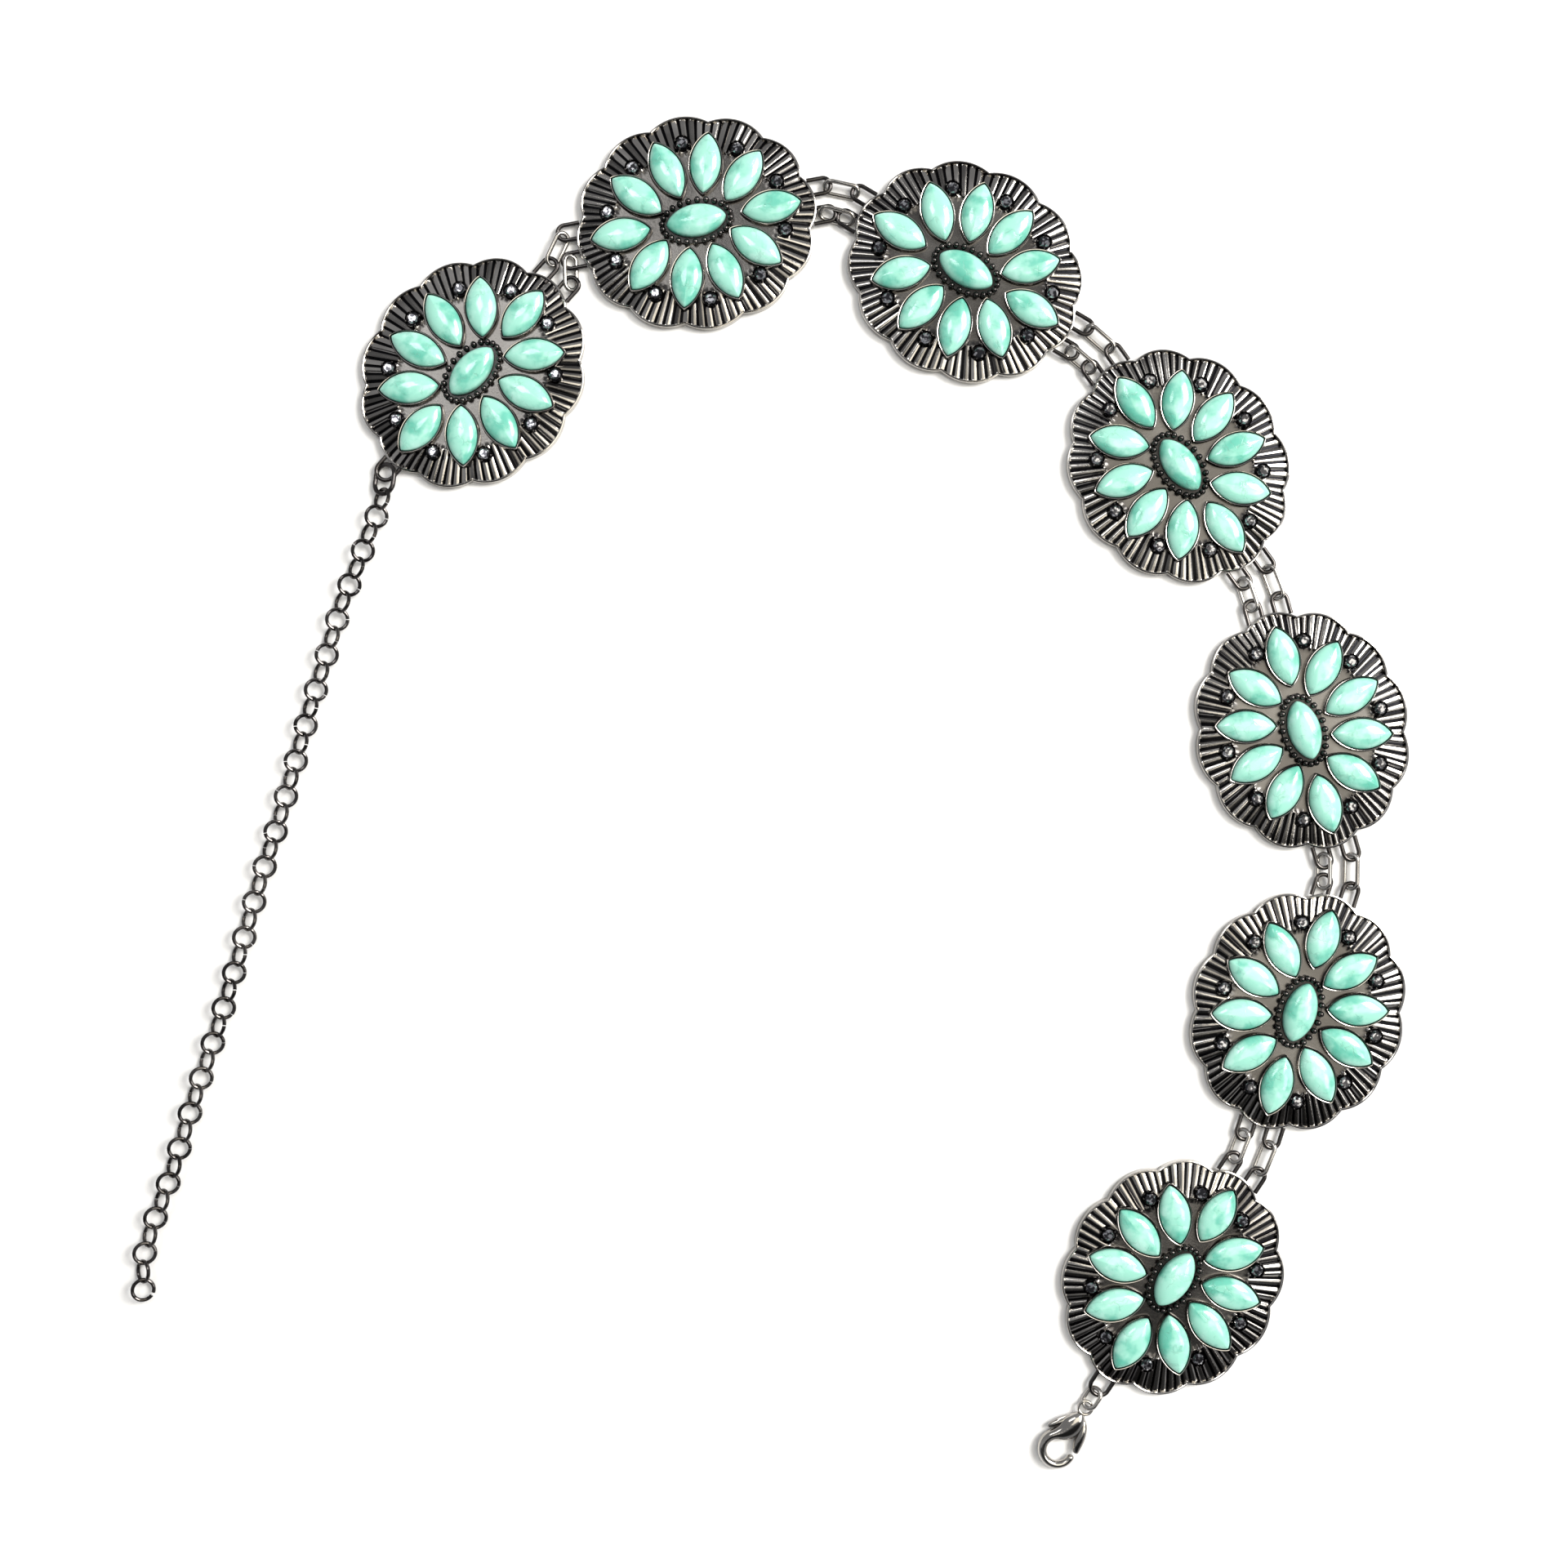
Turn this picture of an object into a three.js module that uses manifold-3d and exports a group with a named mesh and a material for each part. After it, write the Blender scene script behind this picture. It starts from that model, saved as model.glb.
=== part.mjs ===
// A concho belt: seven scalloped flower conchos joined in a row by paired oval links, with a lobster
// clasp at one end and an extender chain of round rings at the other. It lies open on a flat surface.
// Units are millimetres and +Z is up. The origin is on that surface, under the middle of the belt.

import * as THREE from 'three';
import { mergeVertices } from 'three/addons/utils/BufferGeometryUtils.js';
import Module from 'manifold-3d';

const wasm = await Module();
wasm.setup();

const TURN = 2 * Math.PI;
const HALF_TURN = Math.PI;
const QUARTER = Math.PI / 2;

// Room left between pieces that touch on the real belt, and how deep fused pieces run into each other
const clearance = 0.25;
const sink = 1.1;
// How far the links' wires stay off the table, and how near two corners lie that are one corner
const tableRoom = 0.06;
const sameCorner = 1e-4;

// Concho casting: a scalloped oval that rises from its rim to a flat field, hollow at the back
const conchoLength = 75;
const conchoWidth = 66.3;
const scallopCount = 12;
const stepsPerScallop = 4;
const scallopDepth = 2;
const rimHeight = 2.6;
const fieldLength = 67;
const fieldWidth = 57.6;
const fieldRise = 0.8;
const wallThickness = 1.3;
const backRimWidth = 3;
const hollowSides = 8;

// Petals: pointed cabochons in their bezels, fused to the casting
const petalLength = 19.4;
const petalWidth = 10.6;
const petalSides = 8;
const bezelHeight = 1.5;
const petalCrown = 2.2;

// Middle stone, and the raised seat that it lies on
const stoneLength = 18.4;
const stoneWidth = 9.7;
const stoneEdge = 1.1;
const stoneCrown = 2.6;
const seatLength = 23.6;
const seatWidth = 13.8;
const seatSides = 12;
const seatHeight = 0.6;

// A cabochon's shoulder: its share of the outline, and of the height of the crown
const shoulder = { width: 0.7, height: 0.68 };
// How full a pointed oval is between its middle and its tips
const navetteFullness = 1.55;

// Cast eyelets: flat loops on the rim, in pairs where conchos are joined and single at the belt's ends
const eyeletWidth = 5.5;
const endEyeletWidth = 6.6;
const eyeletWire = 0.8;
const eyeletThickness = 0.8;
const eyeletHeight = 1.85;
const eyeletStandOff = 2.8;
const eyeletSpread = 8.8;
const eyeletSteps = 2;

// Wire of every link: its section has five sides, a round ring has ten, and a quarter of an oval link's
// bend has two
const wireSides = 5;
const ringSides = 10;
const bendSteps = 2;

// Oval links between the conchos, and the two oval jump rings at the ends of the row
const connector = { length: 11.2, width: 4.5, wire: 0.95 };
const chainJumpRing = { length: 10, width: 7.2, wire: 1.05 };
const claspJumpRing = { length: 7.2, width: 4.8, wire: 0.95 };
// Room between a link's bend and the edge of the hole that it is pulled against
const bendRoom = 0.72;
// The chain's jump ring lies slack: this far back from the middle of its eyelet, and its middle this
// share of the way up to the chain
const chainJumpBack = 1.8;
const chainJumpRise = 0.25;

// Extender chain: round rings that lean one way and the other in turn
const ringCount = 46;
const ringDiameter = 7.8;
const ringWire = 1.15;
const ringWeld = 0.15;
const routeSteps = 4000;
const flatRingRoll = 20;
const leaningRingRoll = -54;

// Lobster clasp: an eye, a drop-shaped shell that holds the lever on a pin, and a round hook
const eyeDiameter = 5.2;
const eyeHole = 3.3;
const eyeThickness = 0.8;
const claspThickness = 4;
const neckWidth = 3.2;
const hookHole = 6.4;
const hookWall = 2.8;
const hookStation = 15.35;
const pinDiameter = 1.3;
const pinStation = 7.6;
const pinOffset = 1.2;
const leverThickness = 1.6;
const leverHub = 4;
const armRoot = 3;
const forkReach = 3.4;
const gateReach = 6.9;
const gateWidth = 2.3;
const gateHeading = 33;
const tabReach = 9;
const tabWidth = 1.6;
const tabHeading = -73;
const leverSwing = 25;

// Where the shell runs into the eye, as a share of the eye, and where the lever's slots start beside
// its hub, as a share of the hub
const neckRoot = 0.33;
const slotRoot = 0.25;
// How far the lever's slots open beyond the lever, and the hook's throat, in degrees
const slotSpread = 44;
const throatSpread = 20;
const throatEnd = 88;
// How finely the curves are divided: of the shell and hook, the holes and hub, the slots, and the pin
const shellSteps = 7;
const holeSteps = 5;
const slotSteps = 3;
const pinSteps = 4;

// How the conchos lie: the heading of each long axis in degrees, from the chain end to the clasp end
const conchoHeadings = [48.2, 10.4, -30.6, -54.4, -74.1, -107.6, -123.7];

// How the gaps lie: the heading of the left-hand link in degrees, and the room between its eyelets as
// a share of what pulls it tight
const gapLies = [
  { heading: 65, pull: 0.955 },
  { heading: -12, pull: 0.98 },
  { heading: -41.2, pull: 0.99 },
  { heading: -69.4, pull: 1 },
  { heading: -91, pull: 1 },
  { heading: -112.1, pull: 1 },
];

// The headings of the two end pieces in degrees, and the chain's route over the table from the middle
// of its first ring
const chainJumpHeading = -96;
const claspHeading = -123.7;
const chainRoute = [
  [0, 0],
  [-1.3, -4.4],
  [-3.7, -9.8],
  [-7.5, -20.3],
  [-12.1, -31.4],
  [-16.9, -47.5],
  [-22, -64.2],
  [-26.6, -80.8],
  [-31.1, -97],
  [-38.1, -119.5],
  [-44.1, -141.1],
  [-50.8, -163.6],
  [-58, -185.3],
  [-64.6, -207.3],
  [-70.4, -223],
  [-73.3, -233.1],
  [-73.4, -242.6],
  [-73.2, -256],
];

// The petals of one quarter of a concho: places as shares of its length and width, heading in degrees
const petalLies = [
  { along: 0.314, across: 0, heading: 0 },
  { along: 0.222, across: 0.165, heading: 44 },
  { along: 0.08, across: 0.254, heading: 74 },
];

// Heights and reaches that follow from the sizes above
const eyeletReach = conchoLength / 2 + eyeletStandOff;
const fieldHeight = rimHeight + fieldRise;
const seatTop = fieldHeight + seatHeight;
const ringRadius = (ringDiameter - ringWire) / 2;
const chainHeight = ringRadius * Math.sin(radians(-leaningRingRoll)) + ringWire / 2 + tableRoom / 2;
const claspMiddle = claspThickness / 2;

// Materials, one for each mesh

function gunmetal() {
  return new THREE.MeshStandardMaterial({ color: 0x4a4542, roughness: 0.28, metalness: 1 });
}

function turquoise() {
  return new THREE.MeshStandardMaterial({ color: 0x7ddec8, roughness: 0.25, metalness: 0 });
}

// Solids: closed geometries go to the solid library to be joined or cut, and come back as geometry

function radians(degrees) {
  return degrees * Math.PI / 180;
}

function solidOf(geometry) {
  const bare = geometry.clone();
  bare.deleteAttribute('normal');
  bare.deleteAttribute('uv');
  const merged = mergeVertices(bare, sameCorner);
  const mesh = new wasm.Mesh({
    numProp: 3,
    vertProperties: Float32Array.from(merged.attributes.position.array),
    triVerts: Uint32Array.from(merged.index.array),
  });
  return new wasm.Manifold(mesh);
}

function geometryOf(solid) {
  const mesh = solid.getMesh();
  const geometry = new THREE.BufferGeometry();
  geometry.setAttribute('position', new THREE.BufferAttribute(mesh.vertProperties, 3));
  geometry.setIndex(new THREE.BufferAttribute(mesh.triVerts, 1));
  return geometry;
}

function fused(geometries) {
  return wasm.Manifold.union(geometries.map(solidOf));
}

function meshOf(name, geometry, material) {
  const mesh = new THREE.Mesh(geometry, material);
  mesh.name = name;
  return mesh;
}

// A lathed form whose rings are reshaped: each row has a height and an outline that turns an angle
// into a point. The first and last rows have no outline and are the poles.
function ringed(rows, segments) {
  const profile = rows.map((row) => new THREE.Vector2(row.outline ? 1 : 0, row.height));
  const geometry = new THREE.LatheGeometry(profile, segments);
  const position = geometry.attributes.position;
  for (let index = 0; index < position.count; index += 1) {
    const row = rows[index % rows.length];
    const turn = Math.floor(index / rows.length) % segments;
    const point = row.outline ? row.outline(turn * TURN / segments) : new THREE.Vector2();
    position.setXYZ(index, point.x, point.y, row.height);
  }
  return geometry;
}

// A flat closed shape from one height to another
function slab(shape, bottom, top, curveSegments) {
  const geometry = new THREE.ExtrudeGeometry(shape, {
    depth: top - bottom,
    bevelEnabled: false,
    curveSegments,
  });
  return geometry.translate(0, 0, bottom);
}

// A closed wire through corners that lie flat in a ring, one edge of its section facing inwards
function wireLoop(corners, wire) {
  const section = Array.from({ length: wireSides + 1 }, () => new THREE.Vector2(1, 0));
  const geometry = new THREE.LatheGeometry(section, corners.length);
  const position = geometry.attributes.position;
  for (let index = 0; index < position.count; index += 1) {
    const turn = Math.floor(index / section.length) % corners.length;
    const before = corners.at(turn - 1);
    const after = corners[(turn + 1) % corners.length];
    const tangent = after.clone().sub(before).normalize();
    const angle = (index % section.length % wireSides) * TURN / wireSides + HALF_TURN;
    const outwards = new THREE.Vector2(tangent.y, -tangent.x).multiplyScalar(wire / 2 * Math.cos(angle));
    const point = corners[turn].clone().add(outwards);
    position.setXYZ(index, point.x, point.y, wire / 2 * Math.sin(angle));
  }
  return geometry;
}

// Outlines

function oval(length, width) {
  return (angle) => new THREE.Vector2(length / 2 * Math.cos(angle), width / 2 * Math.sin(angle));
}

function navette(length, width) {
  return (angle) => {
    const across = Math.sin(angle);
    const bulge = Math.abs(across) ** navetteFullness;
    return new THREE.Vector2(length / 2 * Math.cos(angle), Math.sign(across) * bulge * width / 2);
  };
}

// The concho's edge: an oval through the scallops' crowns, with a notch between each two
function scalloped() {
  const crowns = oval(conchoLength, conchoWidth);
  return (angle) => {
    const point = crowns(angle);
    const share = angle / TURN * scallopCount;
    const offCrown = 2 * Math.abs(share - Math.round(share));
    return point.setLength(point.length() - scallopDepth * offCrown ** 2);
  };
}

// Conchos

function cabochon(length, width, bottom, edge, crown, sides) {
  return ringed([
    { height: bottom },
    { height: bottom, outline: navette(length, width) },
    { height: edge, outline: navette(length, width) },
    {
      height: edge + crown * shoulder.height,
      outline: navette(length * shoulder.width, width * shoulder.width),
    },
    { height: edge + crown },
  ], sides);
}

function plate() {
  return ringed([
    { height: 0 },
    { height: 0, outline: scalloped() },
    { height: rimHeight, outline: scalloped() },
    { height: fieldHeight, outline: oval(fieldLength, fieldWidth) },
    { height: fieldHeight },
  ], scallopCount * stepsPerScallop);
}

function hollow() {
  const edge = 2 * (scallopDepth + backRimWidth);
  const top = fieldHeight - wallThickness;
  return ringed([
    { height: -sink },
    { height: -sink, outline: oval(conchoLength - edge, conchoWidth - edge) },
    { height: 0, outline: oval(conchoLength - edge, conchoWidth - edge) },
    { height: top, outline: oval(fieldLength - edge / 2, fieldWidth - edge / 2) },
    { height: top },
  ], hollowSides);
}

function petals() {
  const places = [];
  for (const lie of petalLies) {
    const x = lie.along * conchoLength;
    const y = lie.across * conchoWidth;
    places.push([x, y, lie.heading], [-x, -y, lie.heading]);
    if (lie.across > 0) {
      places.push([x, -y, -lie.heading], [-x, y, -lie.heading]);
    }
  }
  const root = fieldHeight - sink;
  const edge = fieldHeight + bezelHeight;
  return places.map(([x, y, heading]) => {
    const petal = cabochon(petalLength, petalWidth, root, edge, petalCrown, petalSides);
    return petal.rotateZ(radians(heading)).translate(x, y, 0);
  });
}

function seat() {
  const root = fieldHeight - sink;
  return ringed([
    { height: root },
    { height: root, outline: oval(seatLength, seatWidth) },
    { height: seatTop, outline: oval(seatLength, seatWidth) },
    { height: seatTop },
  ], seatSides);
}

// A flat loop round the origin, whose two legs run back into the rim
function eyelet(width) {
  const outer = width / 2;
  const inner = outer - eyeletWire;
  const root = eyeletReach - (conchoLength / 2 - scallopDepth - eyeletWire);
  const shape = new THREE.Shape();
  shape.moveTo(-root, -outer);
  shape.absarc(0, 0, outer, -QUARTER, QUARTER, false);
  shape.lineTo(-root, outer);
  shape.lineTo(-root, inner);
  shape.absarc(0, 0, inner, QUARTER, -QUARTER, true);
  shape.lineTo(-root, -inner);
  shape.closePath();
  return slab(shape, eyeletHeight - eyeletThickness / 2, eyeletHeight + eyeletThickness / 2, eyeletSteps);
}

// Where a concho's eyelets are in its own frame: one at a free end, two side by side at a joined end
function eyeletPlaces(end, isFree) {
  if (isFree) {
    return [{ x: end * eyeletReach, y: 0, width: endEyeletWidth }];
  }
  return [1, -1].map((side) => ({ x: end * eyeletReach, y: side * eyeletSpread / 2, width: eyeletWidth }));
}

function casting(isFirst, isLast) {
  const places = [...eyeletPlaces(-1, isFirst), ...eyeletPlaces(1, isLast)];
  const eyelets = places.map((place) => {
    const loop = eyelet(place.width);
    if (place.x < 0) {
      loop.rotateZ(HALF_TURN);
    }
    return loop.translate(place.x, place.y, 0);
  });
  const whole = fused([plate(), seat(), ...petals(), ...eyelets]);
  return geometryOf(whole.subtract(fused([hollow()])));
}

function middleStone() {
  const bottom = seatTop + clearance;
  const edge = bottom + stoneEdge;
  return geometryOf(fused([cabochon(stoneLength, stoneWidth, bottom, edge, stoneCrown, petalSides)]));
}

// Links

function roundRing() {
  const turns = Array.from({ length: ringSides }, (unused, turn) => turn * TURN / ringSides);
  return wireLoop(turns.map(oval(2 * ringRadius, 2 * ringRadius)), ringWire);
}

function ovalLink(size) {
  const bend = (size.width - size.wire) / 2;
  const half = (size.length - size.width) / 2;
  const corners = [];
  for (const end of [1, -1]) {
    for (let step = -bendSteps; step <= bendSteps; step += 1) {
      const angle = step * QUARTER / bendSteps;
      corners.push(new THREE.Vector2(end * (half + bend * Math.cos(angle)), end * bend * Math.sin(angle)));
    }
  }
  return wireLoop(corners, size.wire);
}

// Turns and moves a link that lies flat along X so that it runs from one point to another, rolled
// about that line
function lay(object, from, to, roll) {
  const along = to.clone().sub(from).normalize();
  const left = new THREE.Vector3(-along.y, along.x, 0).normalize();
  const up = along.clone().cross(left);
  const turned = new THREE.Matrix4().makeBasis(along, left, up);
  object.quaternion.setFromRotationMatrix(turned);
  object.rotateX(radians(roll));
  object.position.copy(from).add(to).multiplyScalar(0.5);
  return object;
}

// The steepest roll at which an oval link clears the table, its middle at a given height
function rollOver(size, height) {
  const bend = (size.width - size.wire) / 2;
  const room = height - size.wire / 2 - tableRoom;
  return THREE.MathUtils.radToDeg(Math.asin(Math.min(1, room / bend)));
}

function headed(heading, length) {
  const angle = radians(heading);
  return new THREE.Vector3(Math.cos(angle) * length, Math.sin(angle) * length, 0);
}

// How far from the middle of a round hole a link's wire lies when it is pulled against the hole's edge
function hookedAt(hole, wire) {
  return (hole - wire) / 2 - bendRoom;
}

// The belt is laid out from the first concho on

const layout = new THREE.Group();

const connectorSpan = connector.length - connector.wire;
const eyeletHole = eyeletWidth - 2 * eyeletWire;
const endEyeletHole = endEyeletWidth - 2 * eyeletWire;
const tightSpread = connectorSpan + 2 * hookedAt(eyeletHole, connector.wire);

function onConcho(place, along, across) {
  return place.middle.clone()
    .add(headed(place.heading, along))
    .add(headed(place.heading + 90, across));
}

const conchoPlaces = [];
conchoHeadings.forEach((heading, index) => {
  const middle = new THREE.Vector3();
  if (index > 0) {
    const lie = gapLies[index - 1];
    middle.copy(onConcho(conchoPlaces[index - 1], eyeletReach, eyeletSpread / 2));
    middle.add(headed(lie.heading, tightSpread * lie.pull));
    middle.add(headed(heading, eyeletReach));
    middle.sub(headed(heading + 90, eyeletSpread / 2));
  }
  conchoPlaces.push({ heading, middle });
});

conchoPlaces.forEach((place, index) => {
  const number = index + 1;
  const concho = new THREE.Group();
  const isFirst = index === 0;
  const isLast = index === conchoPlaces.length - 1;
  concho.add(meshOf(`concho_${number}`, casting(isFirst, isLast), gunmetal()));
  concho.add(meshOf(`centre_stone_${number}`, middleStone(), turquoise()));
  concho.position.copy(place.middle);
  concho.rotation.z = radians(place.heading);
  layout.add(concho);
});

for (let gap = 0; gap < gapLies.length; gap += 1) {
  for (const [side, across] of [['left', eyeletSpread / 2], ['right', -eyeletSpread / 2]]) {
    const from = onConcho(conchoPlaces[gap], eyeletReach, across).setZ(eyeletHeight);
    const to = onConcho(conchoPlaces[gap + 1], -eyeletReach, across).setZ(eyeletHeight);
    const link = meshOf(`link_${gap + 1}_${side}`, ovalLink(connector), gunmetal());
    layout.add(lay(link, from, to, rollOver(connector, eyeletHeight)));
  }
}

// Chain end: the jump ring climbs from the eyelet to the height of the chain's rings

const chainSpan = chainJumpRing.length - chainJumpRing.wire;
const chainClimb = Math.asin((chainHeight - eyeletHeight) / chainSpan);
const chainJumpNear = onConcho(conchoPlaces[0], -eyeletReach, 0).setZ(eyeletHeight);
chainJumpNear.add(headed(chainJumpHeading, -chainJumpBack));
const chainJumpFar = chainJumpNear.clone().add(headed(chainJumpHeading, chainSpan * Math.cos(chainClimb)));
chainJumpFar.setZ(chainHeight);
const chainJump = meshOf('chain_jump_ring', ovalLink(chainJumpRing), gunmetal());
const chainJumpRoll = rollOver(chainJumpRing, eyeletHeight + (chainHeight - eyeletHeight) * chainJumpRise);
layout.add(lay(chainJump, chainJumpNear, chainJumpFar, chainJumpRoll));

// The rings stand one after another along the route, each a pitch from the one before
function ringMiddles() {
  const pitch = ringDiameter - 2 * ringWire + ringWeld;
  const wiresApart = chainJumpRing.wire / 2 + ringWire / 2 + 2 * clearance;
  const start = chainJumpFar.clone().add(headed(chainJumpHeading, ringRadius - wiresApart));
  const points = chainRoute.map(([x, y]) => new THREE.Vector3(start.x + x, start.y + y, chainHeight));
  const route = new THREE.CatmullRomCurve3(points, false, 'centripetal');
  const samples = route.getSpacedPoints(routeSteps);
  const middles = [start];
  for (const point of samples) {
    if (middles.length < ringCount && point.distanceTo(middles.at(-1)) >= pitch) {
      middles.push(middles.at(-1).clone().add(point.clone().sub(middles.at(-1)).setLength(pitch)));
    }
  }
  return middles;
}

function chain() {
  const middles = ringMiddles();
  const rings = middles.map((middle, index) => {
    const before = middles[Math.max(index - 1, 0)];
    const after = middles[Math.min(index + 1, middles.length - 1)];
    const half = after.clone().sub(before).setLength(ringRadius);
    const roll = index % 2 === 0 ? leaningRingRoll : flatRingRoll;
    const ring = lay(new THREE.Object3D(), middle.clone().sub(half), middle.clone().add(half), roll);
    ring.updateMatrix();
    return roundRing().applyMatrix4(ring.matrix);
  });
  return geometryOf(fused(rings));
}

layout.add(meshOf('extender_chain', chain(), gunmetal()));

// Clasp, along X from the middle of its eye, then laid out from the last concho's eyelet

function sector(middle, inner, outer, from, to) {
  const shape = new THREE.Shape();
  shape.absarc(middle.x, middle.y, outer, radians(from), radians(to), false);
  shape.absarc(middle.x, middle.y, inner, radians(to), radians(from), true);
  shape.closePath();
  return shape;
}

function disc(x, y, diameter) {
  const shape = new THREE.Shape();
  shape.absarc(x, y, diameter / 2, 0, TURN, false);
  return shape;
}

// An arm from one point in a heading, wide at its root and narrower at its tip
function arm(middle, heading, reach, rootWidth, tipWidth) {
  const shape = new THREE.Shape([
    new THREE.Vector2(0, -rootWidth / 2),
    new THREE.Vector2(reach, -tipWidth / 2),
    new THREE.Vector2(reach, tipWidth / 2),
    new THREE.Vector2(0, rootWidth / 2),
  ]);
  const bottom = claspMiddle - leverThickness / 2;
  return slab(shape, bottom, bottom + leverThickness, 1)
    .rotateZ(radians(heading))
    .translate(middle.x, middle.y, 0);
}

const pin = new THREE.Vector2(pinStation, pinOffset);

function claspShell() {
  const outer = hookHole / 2 + hookWall;
  const lean = Math.acos((outer - neckWidth / 2) / (hookStation - eyeDiameter / 2));
  const shape = new THREE.Shape();
  shape.moveTo(eyeDiameter * neckRoot, -neckWidth / 2);
  shape.absarc(hookStation, 0, outer, -HALF_TURN + lean, HALF_TURN - lean, false);
  shape.lineTo(eyeDiameter * neckRoot, neckWidth / 2);
  shape.closePath();
  return slab(shape, 0, claspThickness, shellSteps);
}

function claspEye() {
  const bottom = claspMiddle - eyeThickness / 2;
  return slab(disc(0, 0, eyeDiameter), bottom, bottom + eyeThickness, holeSteps);
}

function claspBody() {
  const slotBottom = claspMiddle - leverThickness / 2 - clearance;
  const slotTop = claspMiddle + leverThickness / 2 + clearance;
  const reach = gateReach + clearance;
  const hubRoom = slotRoot * leverHub;
  const throat = [gateHeading - leverSwing - throatSpread, throatEnd];
  const gateRoom = [gateHeading - leverSwing - slotSpread, gateHeading + slotSpread];
  const tabRoom = [tabHeading - leverSwing - slotSpread, tabHeading + slotSpread];
  const cuts = fused([
    slab(disc(0, 0, eyeHole), -sink, claspThickness + sink, holeSteps),
    slab(disc(hookStation, 0, hookHole), -sink, claspThickness + sink, shellSteps),
    slab(sector(pin, forkReach, reach, ...throat), -sink, claspThickness + sink, slotSteps),
    slab(disc(pin.x, pin.y, leverHub + 2 * clearance), slotBottom, slotTop, holeSteps),
    slab(sector(pin, hubRoom, reach, ...gateRoom), slotBottom, slotTop, slotSteps),
    slab(sector(pin, hubRoom, reach, ...tabRoom), slotBottom, slotTop, slotSteps),
  ]);
  const post = slab(disc(pin.x, pin.y, pinDiameter), slotBottom - clearance, slotTop + clearance, pinSteps);
  return geometryOf(fused([claspShell(), claspEye()]).subtract(cuts).add(solidOf(post)));
}

function claspLever() {
  const bottom = claspMiddle - leverThickness / 2;
  const hub = slab(disc(pin.x, pin.y, leverHub), bottom, bottom + leverThickness, holeSteps);
  const gate = arm(pin, gateHeading, gateReach, armRoot, gateWidth);
  const tab = arm(pin, tabHeading, tabReach, armRoot, tabWidth);
  const bore = slab(disc(pin.x, pin.y, pinDiameter + 2 * clearance), 0, claspThickness, pinSteps);
  return geometryOf(fused([hub, gate, tab]).subtract(fused([bore])));
}

const claspSpan = claspJumpRing.length - claspJumpRing.wire;
const claspJumpNear = onConcho(conchoPlaces.at(-1), eyeletReach, 0).setZ(eyeletHeight);
claspJumpNear.add(headed(claspHeading, hookedAt(endEyeletHole, claspJumpRing.wire)));
const claspJumpFar = claspJumpNear.clone().add(headed(claspHeading, claspSpan)).setZ(claspMiddle);
const claspJump = meshOf('clasp_jump_ring', ovalLink(claspJumpRing), gunmetal());
const claspJumpRoll = rollOver(claspJumpRing, (eyeletHeight + claspMiddle) / 2);
layout.add(lay(claspJump, claspJumpNear, claspJumpFar, claspJumpRoll));

const clasp = new THREE.Group();
clasp.add(meshOf('clasp_body', claspBody(), gunmetal()));
clasp.add(meshOf('clasp_lever', claspLever(), gunmetal()));
clasp.position.copy(claspJumpFar).add(headed(claspHeading, hookedAt(eyeHole, claspJumpRing.wire))).setZ(0);
clasp.rotation.z = radians(claspHeading);
layout.add(clasp);

// The belt's middle goes to the origin
const middleOfBelt = new THREE.Box3().setFromObject(layout, true).getCenter(new THREE.Vector3());
layout.position.set(-middleOfBelt.x, -middleOfBelt.y, 0);

const belt = new THREE.Group();
belt.add(layout);

export default belt;
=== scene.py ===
# %% [markdown]
# # A concho belt in turquoise and dark metal
# Seven scalloped flower plates, called conchos, lie open in an arch. Paired oval links join them, a
# chain of round rings hangs from one end and a lobster clasp from the other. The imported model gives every
# piece its place and size, and this lesson dresses it: it makes each form again with its fine detail, and
# gives the metal and the stones their finish.

# %% The frame
import math
import random

import bmesh
import bpy
from mathutils import Matrix, Vector


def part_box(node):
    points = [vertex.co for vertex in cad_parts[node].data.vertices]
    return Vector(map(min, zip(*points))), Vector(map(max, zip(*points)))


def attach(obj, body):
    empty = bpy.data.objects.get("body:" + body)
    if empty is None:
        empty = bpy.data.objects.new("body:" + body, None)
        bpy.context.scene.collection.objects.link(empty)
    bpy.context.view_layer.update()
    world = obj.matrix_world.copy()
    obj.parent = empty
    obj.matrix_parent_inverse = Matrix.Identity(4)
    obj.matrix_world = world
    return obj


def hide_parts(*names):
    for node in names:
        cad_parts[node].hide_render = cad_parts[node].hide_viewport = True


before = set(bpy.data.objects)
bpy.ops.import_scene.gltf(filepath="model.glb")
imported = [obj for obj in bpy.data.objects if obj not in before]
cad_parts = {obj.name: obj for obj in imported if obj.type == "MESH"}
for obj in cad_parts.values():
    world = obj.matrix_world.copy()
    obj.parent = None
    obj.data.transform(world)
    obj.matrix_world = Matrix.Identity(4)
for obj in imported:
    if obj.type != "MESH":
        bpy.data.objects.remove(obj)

TURN = 2 * math.pi
mm = 0.001

scene = bpy.context.scene
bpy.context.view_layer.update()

# %% [markdown]
# ## Where everything lies
# The middle stones give the middle of each concho. The headings of the long axes are the ones that the
# belt was laid out with, in degrees, from the chain's end to the clasp's end.

# %% Places of the conchos
CONCHO_HEADINGS = [48.2, 10.4, -30.6, -54.4, -74.1, -107.6, -123.7]


def middle_of(node):
    low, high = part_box(node)
    return (Vector(low) + Vector(high)) / 2


CONCHO_MIDDLES = []
for number in range(1, len(CONCHO_HEADINGS) + 1):
    middle = middle_of(f"centre_stone_{number}") / mm
    CONCHO_MIDDLES.append(Vector((middle.x, middle.y, 0)))
    print(f"concho {number} lies at {middle.x:.1f}, {middle.y:.1f} mm")

# %% [markdown]
# Every form is modelled in millimetres about its own middle, lying along X. One matrix then turns it,
# moves it to its place and brings it to metres, so that the finished object itself stays at the origin.


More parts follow.
